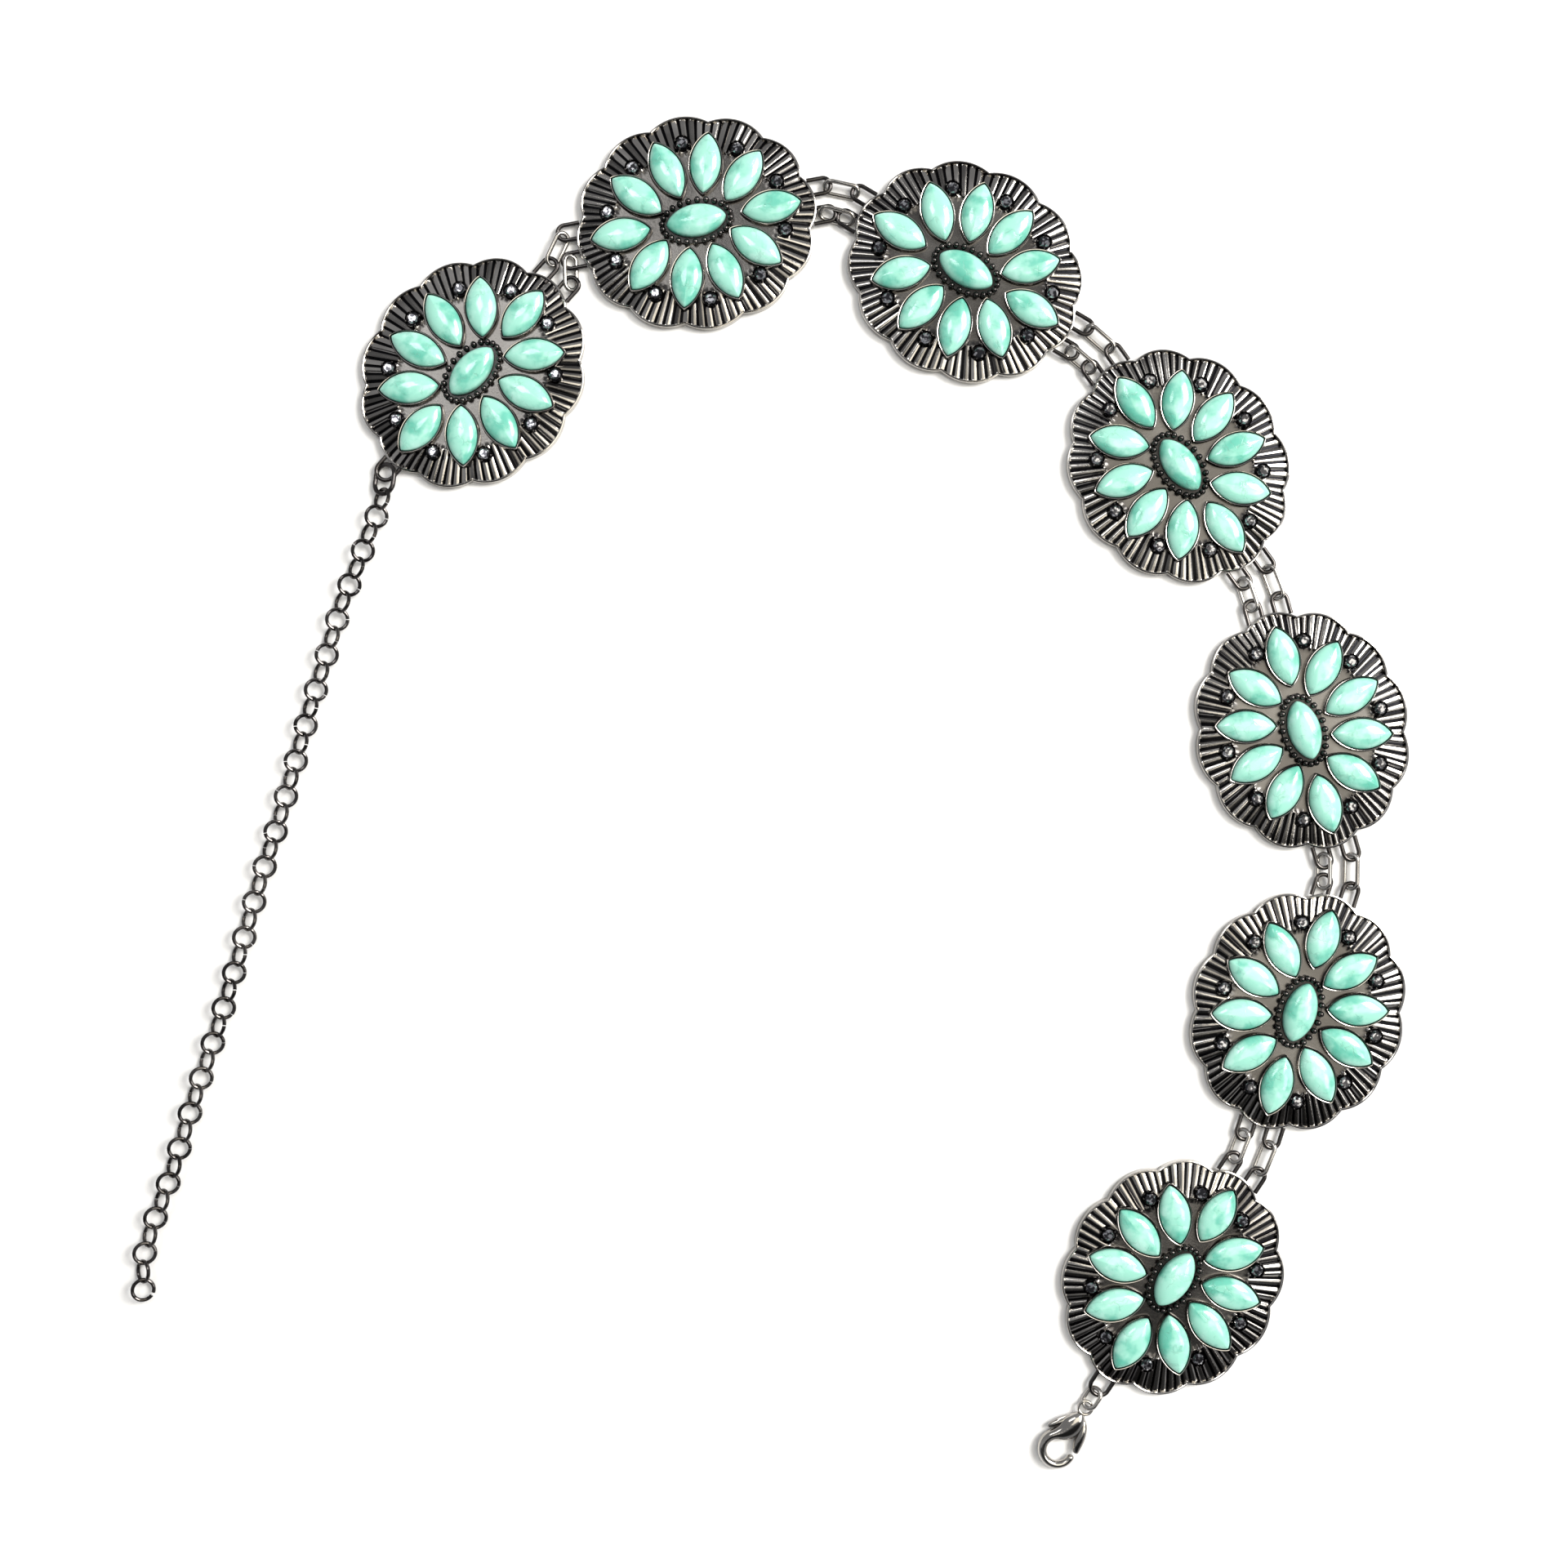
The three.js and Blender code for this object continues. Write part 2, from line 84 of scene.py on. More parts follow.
# %% Matrices
def lying(place, heading):
    turned = Matrix.Rotation(math.radians(heading), 4, "Z")
    return Matrix.Scale(mm, 4) @ Matrix.Translation(place) @ turned


def lying_between(start, end, roll):
    """Along the line between two points, rolled about it."""
    along = (end - start).normalized()
    left = Vector((-along.y, along.x, 0)).normalized()
    up = along.cross(left)
    turned = Matrix((along, left, up)).transposed().to_4x4()
    return Matrix.Translation((start + end) / 2) @ turned @ Matrix.Rotation(math.radians(roll), 4, "X")


def headed(heading, length):
    angle = math.radians(heading)
    return Vector((math.cos(angle) * length, math.sin(angle) * length, 0))


# %% [markdown]
# ## Shader maths as Python
# A finish is easier to read as sums and products than as a list of nodes. A small class wraps a socket, and
# each operator adds the Math node it stands for. Colours are mixed with Mix nodes, because a Math node
# would turn them grey. A Mix node has several sockets of one name, so its sockets are asked for by number.


# %% A socket that can be added and multiplied
class Wire:
    def __init__(self, finish, socket):
        self.finish = finish
        self.socket = socket

    def maths(self, operation, first, second):
        node = self.finish.add("ShaderNodeMath", {"operation": operation}, {0: first, 1: second})
        return node.out("Value")

    def __add__(self, other):
        return self.maths("ADD", self, other)

    def __sub__(self, other):
        return self.maths("SUBTRACT", self, other)

    def __rsub__(self, other):
        return self.maths("SUBTRACT", other, self)

    def __mul__(self, other):
        return self.maths("MULTIPLY", self, other)

    __radd__ = __add__
    __rmul__ = __mul__


# %% A finish that adds its own nodes
MIX_AMOUNT, MIX_FIRST, MIX_SECOND = 0, 6, 7
MIX_RESULT = 2


class Made:
    """A node that has been added, asked for its outputs by name or by number."""

    def __init__(self, finish, node):
        self.finish = finish
        self.node = node

    def out(self, name):
        return Wire(self.finish, self.node.outputs[name])


class Finish:
    """One material: a principled surface and the nodes that feed it."""

    def __init__(self, name, **constants):
        self.material = bpy.data.materials.new(name)
        self.material.use_nodes = True
        self.nodes = self.material.node_tree.nodes
        self.links = self.material.node_tree.links
        self.surface = self.nodes["Principled BSDF"]
        for socket, value in constants.items():
            self.surface.inputs[socket.replace("_", " ")].default_value = value
        self.place = self.add("ShaderNodeTexCoord", {}, {}).out("Object")

    def feed(self, socket, value):
        if isinstance(value, Wire):
            self.links.new(value.socket, socket)
        else:
            socket.default_value = value

    def add(self, kind, settings, inputs):
        node = self.nodes.new(kind)
        for setting, value in settings.items():
            setattr(node, setting, value)
        for socket, value in inputs.items():
            self.feed(node.inputs[socket], value)
        return Made(self, node)

    def surface_from(self, **inputs):
        for socket, value in inputs.items():
            self.feed(self.surface.inputs[socket.replace("_", " ")], value)

    def noise(self, scale, detail=3):
        inputs = {"Vector": self.place, "Scale": scale, "Detail": detail}
        return self.add("ShaderNodeTexNoise", {}, inputs).out("Fac")

    def mix(self, amount, first, second):
        inputs = {MIX_AMOUNT: amount, MIX_FIRST: first, MIX_SECOND: second}
        return self.add("ShaderNodeMix", {"data_type": "RGBA"}, inputs).out(MIX_RESULT)

    def between(self, value, low, high):
        """0 below low, 1 above high."""
        inputs = {"Value": value, "From Min": low, "From Max": high}
        settings = {"interpolation_type": "SMOOTHSTEP"}
        return self.add("ShaderNodeMapRange", settings, inputs).out("Result")

    def bump(self, height, distance):
        inputs = {"Height": height, "Distance": distance}
        return self.add("ShaderNodeBump", {}, inputs).out("Normal")


def rgb(red, green, blue):
    return (red, green, blue, 1)


# %% [markdown]
# ## Gunmetal
# The castings, bezels, links and clasp are plated with black nickel: a dark, warm, glossy metal. Shade is
# painted on it: it is darker and duller in the grooves, on the ground between the stones and inside the
# bezels, seats and cups. The meshes carry an attribute of painted shade, 0 on the high parts and 1 at the
# bottom of a groove, and the finish reads it; on the ribs' tops it holds each rib's own random tone instead.
# The eyelets, beads, cups and chain take the same finish in a darker metal.

# %% Gunmetal
GUNMETAL = rgb(0.35, 0.33, 0.305)
GUNMETAL_WORN = rgb(0.56, 0.535, 0.5)
GUNMETAL_PAINTED_SHADE_AND_DARK_TONE = rgb(0.006, 0.006, 0.007)
CHAIN_METAL = rgb(0.045, 0.041, 0.04)
CHAIN_METAL_WORN = rgb(0.11, 0.101, 0.096)
TARNISH_SCALE = 60
SCRATCH_SCALE = 1400
SCRATCH_DEPTH = 0.00002


def gunmetal(name, dark, worn):
    finish = Finish(name, Metallic=1.0)
    # Painted shade: this attribute mixes in near black in grooves, on the ground and inside bezels and cups;
    # on rib tops it is the rib's random tone
    painted_shade_and_tone = finish.add("ShaderNodeAttribute", {"attribute_name": "painted_shade_and_tone"}, {}).out("Fac")
    tarnish = finish.between(finish.noise(TARNISH_SCALE), 0.35, 0.7)
    scratch = finish.noise(SCRATCH_SCALE)
    polished = finish.mix(tarnish, dark, worn)
    finish.surface_from(
        Base_Color=finish.mix(painted_shade_and_tone, polished, GUNMETAL_PAINTED_SHADE_AND_DARK_TONE),
        Roughness=0.09 + tarnish * 0.06 + scratch * 0.05 + painted_shade_and_tone * 0.13,
        Normal=finish.bump(scratch, SCRATCH_DEPTH),
    )
    return finish.material


GUNMETAL_FINISH = gunmetal("gunmetal", GUNMETAL, GUNMETAL_WORN)
CHAIN_FINISH = gunmetal("link_metal", CHAIN_METAL, CHAIN_METAL_WORN)
print("made the finishes", GUNMETAL_FINISH.name, "and", CHAIN_FINISH.name)

# %% [markdown]
# ## Turquoise
# The stones are mint green with deeper teal clouds, and fine darker veins run through them like crackle. A
# Voronoi texture's distance to its cell edges gives the veins, warped by noise so that no line is straight.
# A wider noise, about as wide as a stone, makes some stones deeper in colour than their neighbours.

# %% Turquoise
MINT = rgb(0.36, 0.76, 0.62)
PALE_MINT = rgb(0.56, 0.9, 0.8)
TEAL = rgb(0.1, 0.5, 0.37)
VEIN = rgb(0.07, 0.25, 0.18)
TONE_SCALE = 45
CLOUD_SCALE = 130
PALE_SCALE = 210
WARP_SCALE = 500
CRACKLE_SCALE = 300
PATCH_SCALE = 260
WARP = (0.003, 0.003, 0.003)
VEIN_DEPTH = 0.00003


def turquoise():
    finish = Finish("turquoise", IOR=1.6, Coat_Roughness=0.1, Coat_Weight=0.7)
    tone = (finish.noise(TONE_SCALE, 1) - 0.5) * 0.4
    deep = finish.between(finish.noise(CLOUD_SCALE) + tone, 0.45, 0.68)
    pale = finish.between(finish.noise(PALE_SCALE), 0.5, 0.75)
    warp = finish.add("ShaderNodeTexNoise", {}, {"Vector": finish.place, "Scale": WARP_SCALE}).out("Color")
    warped = finish.add("ShaderNodeVectorMath", {"operation": "MULTIPLY_ADD"},
                        {0: warp, 1: WARP, 2: finish.place}).out("Vector")
    cells = finish.add("ShaderNodeTexVoronoi", {"feature": "DISTANCE_TO_EDGE"},
                       {"Vector": warped, "Scale": CRACKLE_SCALE}).out("Distance")
    patch = finish.between(finish.noise(PATCH_SCALE), 0.45, 0.65)
    vein = (1 - finish.between(cells, 0.0, 0.07)) * patch
    clouded = finish.mix(deep * 0.85, finish.mix(pale * 0.7, MINT, PALE_MINT), TEAL)
    finish.surface_from(
        Base_Color=finish.mix(vein * 0.35, clouded, VEIN),
        Roughness=0.16 + vein * 0.2 + deep * 0.05,
        Normal=finish.bump(1 - vein, VEIN_DEPTH),
    )
    return finish.material


TURQUOISE_FINISH = turquoise()
print("made the finish", TURQUOISE_FINISH.name)

# %% [markdown]
# ## Smoky rhinestones
# The small cut stones between the petals are nearly black. Their facets work like tiny mirrors, so a dark
# metal with almost no roughness shows them better than clear glass would at this size. Pale spots of noise
# are painted on as glints.

# %% Smoky rhinestones
SMOKE = rgb(0.04, 0.04, 0.045)
PAINTED_GLINT_COLOUR = rgb(0.4, 0.4, 0.42)
PAINTED_GLINT_SCALE = 900


def smoky():
    finish = Finish("smoky_rhinestone", Metallic=0.9)
    # Pale spots of noise paint glints on the facets: painted highlights
    painted_glint = finish.between(finish.noise(PAINTED_GLINT_SCALE, 1), 0.45, 0.6)
    finish.surface_from(Base_Color=finish.mix(painted_glint, SMOKE, PAINTED_GLINT_COLOUR), Roughness=0.05 + painted_glint * 0.05)
    return finish.material


SMOKY_FINISH = smoky()
print("made the finish", SMOKY_FINISH.name)

# %% [markdown]
# ## Shells made ring by ring
# A cast plate, a cabochon and a bezel are all closed shells whose rings change shape from one height to the
# next. One helper makes them all: it starts from a circle, extrudes its edges once for each row, and puts
# the new ring where the row says. Each vertex remembers its turn round the middle in a layer of its own,
# which the extrusion copies, and the first and last rings are merged into poles.


# %% Helpers that make a mesh
def ringed(steps, rows):
    """Rows turn an angle into x, y, z and the point's painted shade; on a rib's top that number is the rib's
    own tone.
    """
    form = bmesh.new()
    turn = form.verts.layers.float.new("turn")
    painted_shade_and_tone = form.verts.layers.float.new("painted_shade_and_tone")
    ring = bmesh.ops.create_circle(form, segments=steps, radius=1)["verts"]
    for vert in ring:
        vert[turn] = math.atan2(vert.co.y, vert.co.x) % TURN
    rings = [ring]
    edges = list(form.edges)
    for row in rows:
        if row is not rows[0]:
            made = bmesh.ops.extrude_edge_only(form, edges=edges)["geom"]
            ring = [part for part in made if isinstance(part, bmesh.types.BMVert)]
            inside = set(ring)
            edges = [part for part in made if isinstance(part, bmesh.types.BMEdge)
                     and part.verts[0] in inside and part.verts[1] in inside]
            rings.append(ring)
        for vert in ring:
            x, y, z, depth = row(vert[turn])
            vert.co = (x, y, z)
            vert[painted_shade_and_tone] = depth
    for ring in (rings[0], rings[-1]):
        middle = sum((vert.co for vert in ring), Vector()) / len(ring)
        bmesh.ops.pointmerge(form, verts=ring, merge_co=middle)
    return form


def swept(stations, sides):
    """A bar through stations: each is a place, the direction across the bar, a width and a height."""
    form = bmesh.new()
    loops = []
    for place, across, width, height in stations:
        ring = bmesh.ops.create_circle(form, segments=sides, radius=0.5)["verts"]
        side = across.normalized()
        up = Vector((0, 0, 1))
        for vert in ring:
            vert.co = place + side * (vert.co.x * width) + up * (vert.co.y * height)
        edges = {edge for vert in ring for edge in vert.link_edges}
        loops.append(sorted(edges, key=lambda edge: edge.index))
    for first, second in zip(loops, loops[1:]):
        bmesh.ops.bridge_loops(form, edges=list(set(first) | set(second)))
    return form, loops


def closed_loop(points, wire, sides=10):
    """A closed wire through points that lie flat in a ring."""
    stations = []
    for index, point in enumerate(points):
        tangent = points[(index + 1) % len(points)] - points[index - 1]
        stations.append((point, Vector((tangent.y, -tangent.x, 0)), wire, wire))
    form, loops = swept(stations, sides)
    bmesh.ops.bridge_loops(form, edges=list(set(loops[-1]) | set(loops[0])))
    return form


def open_bar(stations, sides=12):
    """A bar with both ends closed."""
    form, loops = swept(stations, sides)
    for loop in (loops[0], loops[-1]):
        bmesh.ops.contextual_create(form, geom=loop)
    return form


# %% [markdown]
# A form that is used many times is kept as a mesh, and copies of it are gathered into one form, each moved
# by its own matrix. The last helper turns a form into the finished object, with its material, its body and
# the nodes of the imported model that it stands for.


# %% Helpers that gather and finish a mesh
def kept(form):
    bmesh.ops.remove_doubles(form, verts=form.verts, dist=0.0005)
    bmesh.ops.recalc_face_normals(form, faces=form.faces)
    mesh = bpy.data.meshes.new("form")
    form.to_mesh(mesh)
    form.free()
    return mesh


def gathered(copies):
    """One form from pairs of a kept mesh and a matrix."""
    form = bmesh.new()
    for mesh, matrix in copies:
        form.verts.ensure_lookup_table()
        before = len(form.verts)
        form.from_mesh(mesh)
        form.verts.ensure_lookup_table()
        bmesh.ops.transform(form, matrix=matrix, verts=form.verts[before:])
    return form


def finished(name, mesh, finish, matrix, stands_for=(), body="main", crease=35):
    own = mesh.copy()
    own.name = name
    own.transform(matrix)
    own.materials.append(finish)
    if crease:
        own.shade_smooth()
        own.set_sharp_from_angle(angle=math.radians(crease))
    piece = bpy.data.objects.new(name, own)
    scene.collection.objects.link(piece)
    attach(piece, body)
    if stands_for:
        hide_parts(*stands_for)
    return piece


# %% [markdown]
# ## Outlines
# Three outlines carry the whole belt: the scalloped edge of the plate, plain ovals inside it, and the
# navette, a pointed oval, for every turquoise and bezel. The navette is an oval whose sides are pinched
# towards its tips: the higher the power, the sharper the tips. The middle stone's are blunter.

# %% Outlines
CONCHO_LENGTH = 74.7
CONCHO_WIDTH = 66
SCALLOPS = 12
SCALLOP_DEPTH = 2
NAVETTE_POINT = 1.55
MIDDLE_POINT = 1.3


def oval(length, width, angle):
    return Vector((length / 2 * math.cos(angle), width / 2 * math.sin(angle)))


def navette(length, width, angle, point=NAVETTE_POINT):
    across = math.sin(angle)
    bulge = math.copysign(abs(across) ** point, across)
    return Vector((length / 2 * math.cos(angle), width / 2 * bulge))


def scalloped(inset, angle):
    point = oval(CONCHO_LENGTH, CONCHO_WIDTH, angle)
    share = angle / TURN * SCALLOPS
    off_crown = 2 * abs(share - round(share))
    return point.normalized() * (point.length - SCALLOP_DEPTH * off_crown ** 2 - inset)


print(f"a concho is {CONCHO_LENGTH} by {CONCHO_WIDTH} mm and has {SCALLOPS} scallops")

# %% [markdown]
# ## The casting
# Seen from above, each concho has a thin raised wire on its edge, then a border of radial ribs with narrow
# grooves between them, seven to a scallop, and a smooth ground in the middle. The back is hollow with a
# flat rim. All of it is one shell of rings, from the middle of the back round the edge to the middle of the
# front. A rib takes eight steps: the flat groove, two shoulders and a softly rounded top. No two ribs are
# polished alike, so each has a shade and a lean of its own.

# %% Ribs
RIBS = 84
RIB_STEPS = [-0.5, -0.39, -0.31, -0.16, 0.0, 0.16, 0.31, 0.39]
STEPS_PER_RIB = len(RIB_STEPS)
RIB_SHOULDER = 0.31
RIB_CROWN = 0.17
GROOVE_DEPTH = 0.55
WIRE_WIDTH = 0.85
BORDER_FOOT = 2.0
BORDER_TOP = 3.55
BORDER_SWELL = 0.85
GROUND = 3.1
GROUND_LENGTH = 52
GROUND_WIDTH = 44
DARKEST_RIB = 0.8
MOST_LEAN = 0.5

chance = random.Random(5)
RIB_SHADES = [chance.random() ** 2 * DARKEST_RIB for rib in range(RIBS)]
RIB_LEANS = [chance.uniform(-MOST_LEAN, MOST_LEAN) for rib in range(RIBS)]


def rib_place(turn):
    """The angle of a step, which rib it is on, and how far from the rib's middle, as a share of the rib."""
    step = round(turn / TURN * RIBS * STEPS_PER_RIB) % (RIBS * STEPS_PER_RIB)
    rib, part = divmod(step, STEPS_PER_RIB)
    offset = RIB_STEPS[part]
    return (rib + 0.5 + offset) / RIBS * TURN, rib, offset


def edge_row(inset, height):
    def row(turn):
        angle = rib_place(turn)[0]
        return (*scalloped(inset, angle), height, 0)
    return row


def rib_row(share, sunk=1.0):
    """From the wire's foot at share 0 to the ground's edge at share 1."""
    def row(turn):
        angle, rib, offset = rib_place(turn)
        outer = scalloped(WIRE_WIDTH, angle)
        inner = oval(GROUND_LENGTH, GROUND_WIDTH, angle)
        point = outer.lerp(inner, share)
        height = BORDER_FOOT + (BORDER_TOP - BORDER_FOOT) * share ** BORDER_SWELL
        # A groove's floor is sunk and painted dark, as painted shade; a rib's top takes its own random tone
        if abs(offset) > RIB_SHOULDER:
            return (*point, height - GROOVE_DEPTH * sunk, sunk)
        crown = RIB_CROWN * (offset / RIB_SHOULDER - RIB_LEANS[rib]) ** 2
        return (*point, height - crown, RIB_SHADES[rib])
    return row


# depth is the painted shade that the row's points take
def oval_row(length, width, height, depth=0.0):
    def row(turn):
        angle = rib_place(turn)[0]
        return (*oval(length, width, angle), height, depth)
    return row


print(f"a concho has {RIBS} ribs, {RIBS // SCALLOPS} to a scallop")

# %% The casting's rings
WIRE_TOP = 2.75
HOLLOW_TOP = 1.9
HOLLOW_LENGTH = 56
HOLLOW_WIDTH = 48
BACK_RIM = 3
BACK_EDGE = 2 * (SCALLOP_DEPTH + BACK_RIM)
POLE = 2
# How much painted shade the ground between the petals takes, at its edge and further in
GROUND_EDGE_PAINTED_SHADE = 0.85
GROUND_PAINTED_SHADE = 0.75

casting_rows = [
    oval_row(POLE, POLE, HOLLOW_TOP),
    oval_row(HOLLOW_LENGTH, HOLLOW_WIDTH, HOLLOW_TOP),
    oval_row(CONCHO_LENGTH - BACK_EDGE, CONCHO_WIDTH - BACK_EDGE, 0),
    edge_row(0.15, 0),
    edge_row(0, 0.2),
    edge_row(0.05, WIRE_TOP - 0.6),
    edge_row(0, WIRE_TOP - 0.35),
    edge_row(0.12, WIRE_TOP - 0.1),
    edge_row(WIRE_WIDTH / 2, WIRE_TOP),
    edge_row(WIRE_WIDTH - 0.15, WIRE_TOP - 0.15),
    edge_row(WIRE_WIDTH, BORDER_FOOT),
    rib_row(0.02),
    rib_row(0.06),
    rib_row(0.25),
    rib_row(0.5),
    rib_row(0.75),
    rib_row(0.97),
    rib_row(1.0, 0.6),
    # The ground round the stones is painted dark, as shade
    oval_row(GROUND_LENGTH - 1.2, GROUND_WIDTH - 1.2, GROUND, GROUND_EDGE_PAINTED_SHADE),
    oval_row(GROUND_LENGTH - 4, GROUND_WIDTH - 4, GROUND, GROUND_PAINTED_SHADE),
    oval_row(POLE, POLE, GROUND, GROUND_PAINTED_SHADE),
]
casting_mesh = kept(ringed(RIBS * STEPS_PER_RIB, casting_rows))
print("the casting has", len(casting_mesh.polygons), "faces")

# %% [markdown]
# ## Eyelets
# The eyelets are round wire loops cast on the rim. A half circle of stations with two straight legs makes
# one, and the bar is swept through them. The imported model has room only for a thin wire, whose middle line
# the drawn one keeps.

# %% Eyelets
EYELET_WIDTH = 5.5
END_EYELET_WIDTH = 6.6
EYELET_WIRE = 0.8
EYELET_DRAWN_WIRE = 1.35
EYELET_HEIGHT = 1.85
EYELET_REACH = 40.3
EYELET_SPREAD = 8.8
EYELET_ROOT = 4.8
EYELET_STEPS = 16


def eyelet_form(width):
    bend = (width - EYELET_WIRE) / 2
    wire = (EYELET_DRAWN_WIRE, EYELET_DRAWN_WIRE)
    stations = [(Vector((-EYELET_ROOT, -bend, 0)), Vector((0, -1, 0)), *wire)]
    for step in range(EYELET_STEPS + 1):
        angle = (step / EYELET_STEPS - 0.5) * math.pi
        outwards = Vector((math.cos(angle), math.sin(angle), 0))
        stations.append((outwards * bend, outwards, *wire))
    stations.append((Vector((-EYELET_ROOT, bend, 0)), Vector((0, 1, 0)), *wire))
    return open_bar(stations)


eyelet_mesh = kept(eyelet_form(EYELET_WIDTH))
end_eyelet_mesh = kept(eyelet_form(END_EYELET_WIDTH))


def eyelet_copies(is_first, is_last):
    copies = []
    for end, is_free in ((-1, is_first), (1, is_last)):
        turned = Matrix.Rotation(math.pi if end < 0 else 0, 4, "Z")
        for side in ([0] if is_free else [1, -1]):
            place = Vector((end * EYELET_REACH, side * EYELET_SPREAD / 2, EYELET_HEIGHT))
            mesh = end_eyelet_mesh if is_free else eyelet_mesh
            copies.append((mesh, Matrix.Translation(place) @ turned))
    return copies


print("an eyelet has", len(eyelet_mesh.polygons), "faces")

# %% [markdown]
# ## Petals
# Ten cabochons stand round the middle like petals. Each is a navette with a low upright edge and a round
# crown, and each sits in a bezel, a thin wall of metal that is bent over the stone's edge.

# %% Petals and bezels
PETAL_LENGTH = 17.9
PETAL_WIDTH = 9.3
BEZEL_LENGTH = 19.5
BEZEL_WIDTH = 10.7
BEZEL_WALL = 0.42
BEZEL_TOP = 4.95
PETAL_EDGE = 4.6
PETAL_CROWN = 7.05
STONE_STEPS = 48
STONE_RINGS = 10
FOOT_SUNK = 0.4

# Places of one quarter: shares of the concho's length and width, and a heading in degrees
PETAL_LIES = [
    (0.314, 0.0, 0),
    (0.222, 0.165, 44),
    (0.08, 0.254, 74),
]


# depth is the painted shade that the row's points take
def navette_row(length, width, height, depth=0.0, point=NAVETTE_POINT):
    def row(turn):
        return (*navette(length, width, turn, point), height, depth)
    return row


def cabochon_form(length, width, bottom, edge, crown, point=NAVETTE_POINT):
    rings = [(0.1, bottom), (1.0, bottom)]
    for step in range(STONE_RINGS):
        rise = step / STONE_RINGS * math.pi / 2
        rings.append((math.cos(rise) ** 0.9, edge + (crown - edge) * math.sin(rise) ** 0.95))
    rings.append((0.06, crown))
    return ringed(STONE_STEPS, [navette_row(length * share, width * share, height, 0.0, point)
                                for share, height in rings])


def bezel_form():
    wall = 2 * BEZEL_WALL
    rows = [
        navette_row(BEZEL_LENGTH - wall, BEZEL_WIDTH - wall, GROUND - FOOT_SUNK),
        navette_row(BEZEL_LENGTH + 0.5, BEZEL_WIDTH + 0.5, GROUND - FOOT_SUNK),
        navette_row(BEZEL_LENGTH + 0.1, BEZEL_WIDTH + 0.1, GROUND + 0.4),
        navette_row(BEZEL_LENGTH, BEZEL_WIDTH, BEZEL_TOP - 0.2),
        navette_row(BEZEL_LENGTH - wall * 0.35, BEZEL_WIDTH - wall * 0.35, BEZEL_TOP),
        navette_row(BEZEL_LENGTH - wall * 0.8, BEZEL_WIDTH - wall * 0.8, BEZEL_TOP - 0.05),
        navette_row(BEZEL_LENGTH - wall, BEZEL_WIDTH - wall, BEZEL_TOP - 0.3),
        # Inside the bezel, round the stone's foot, the floor is painted fully dark: painted shade
        navette_row(BEZEL_LENGTH - wall, BEZEL_WIDTH - wall, PETAL_EDGE - 0.6, 1.0),
        navette_row(1, 1, PETAL_EDGE - 0.6, 1.0),
    ]
    return ringed(STONE_STEPS, rows)


def petal_places():
    places = []
    for along, across, heading in PETAL_LIES:
        for x_side in (1, -1):
            for y_side in ((1, -1) if across else (1,)):
                place = Vector((x_side * along * CONCHO_LENGTH, y_side * across * CONCHO_WIDTH, 0))
                turned = Matrix.Rotation(math.radians(x_side * y_side * heading), 4, "Z")
                places.append(Matrix.Translation(place) @ turned)
    return places


petal_mesh = kept(cabochon_form(PETAL_LENGTH, PETAL_WIDTH, PETAL_EDGE - 0.5, PETAL_EDGE, PETAL_CROWN))
bezel_mesh = kept(bezel_form())
petals_mesh = kept(gathered([(petal_mesh, place) for place in petal_places()]))
bezels_mesh = kept(gathered([(bezel_mesh, place) for place in petal_places()]))
print("ten petals have", len(petals_mesh.polygons), "faces, their bezels", len(bezels_mesh.polygons))

# %% [markdown]
# ## The middle stone and its beads
# The middle stone is a cabochon of nearly the same cut, raised on a seat and ringed by small metal beads.

# %% Middle stone, seat and beads
STONE_LENGTH = 18.4
STONE_WIDTH = 9.7
STONE_CROWN = 7.9
SEAT_TOP = 4.0
STONE_FOOT = SEAT_TOP + 0.1
STONE_EDGE = SEAT_TOP + 1
BEADS = 24
BEAD_SIZE = 1.9
BEAD_RING = (21.4, 12.7)

# What each row of the seat adds to the ring of beads, its height, and how much painted shade it takes
SEAT_ROWS = [
    (-4, GROUND - FOOT_SUNK, 0),
    (1.0, GROUND - FOOT_SUNK, 0),
    (0.8, SEAT_TOP - 0.25, 0.5),
    (0.4, SEAT_TOP, 0.9),
    (-2.6, SEAT_TOP, 0.95),
    (-12, SEAT_TOP, 1),
]


def seat_row(grown, height, depth):
    length, width = BEAD_RING

    def row(turn):
        return (*oval(length + grown, width + grown, turn), height, depth)
    return row


def seat_form():
    return ringed(STONE_STEPS, [seat_row(*numbers) for numbers in SEAT_ROWS])


def bead_copies():
    form = bmesh.new()
    form.verts.layers.float.new("painted_shade_and_tone")
    bmesh.ops.create_uvsphere(form, u_segments=12, v_segments=8, radius=BEAD_SIZE / 2)
    bead = kept(form)
    copies = []
    for number in range(BEADS):
        place = oval(*BEAD_RING, (number + 0.5) / BEADS * TURN)
        copies.append((bead, Matrix.Translation((*place, SEAT_TOP + BEAD_SIZE * 0.3))))
    return copies


stone_form = cabochon_form(STONE_LENGTH, STONE_WIDTH, STONE_FOOT, STONE_EDGE, STONE_CROWN, MIDDLE_POINT)
stone_mesh = kept(stone_form)
seat_mesh = kept(seat_form())
beads_mesh = kept(gathered(bead_copies()))
print("the bead ring has", len(beads_mesh.polygons), "faces")

# %% [markdown]
# ## Rhinestones in cups
# A small cut stone fills each gap between two petals. Its table has eight sides and is turned half a step
# from its girdle, so the crown between them breaks into sixteen triangular facets. It sits in a cup with
# four prongs.

# %% Rhinestones and cups
RHINESTONES = 10
RHINESTONE_RING = (55.5, 48.5)
RHINESTONE_SIZE = 3.9
CUP_SIZE = 4.8
CUP_TOP = 4.7
PRONG = 0.75
PRONGS = 4
STONE_SIDES = 8
CUP_SIDES = 20


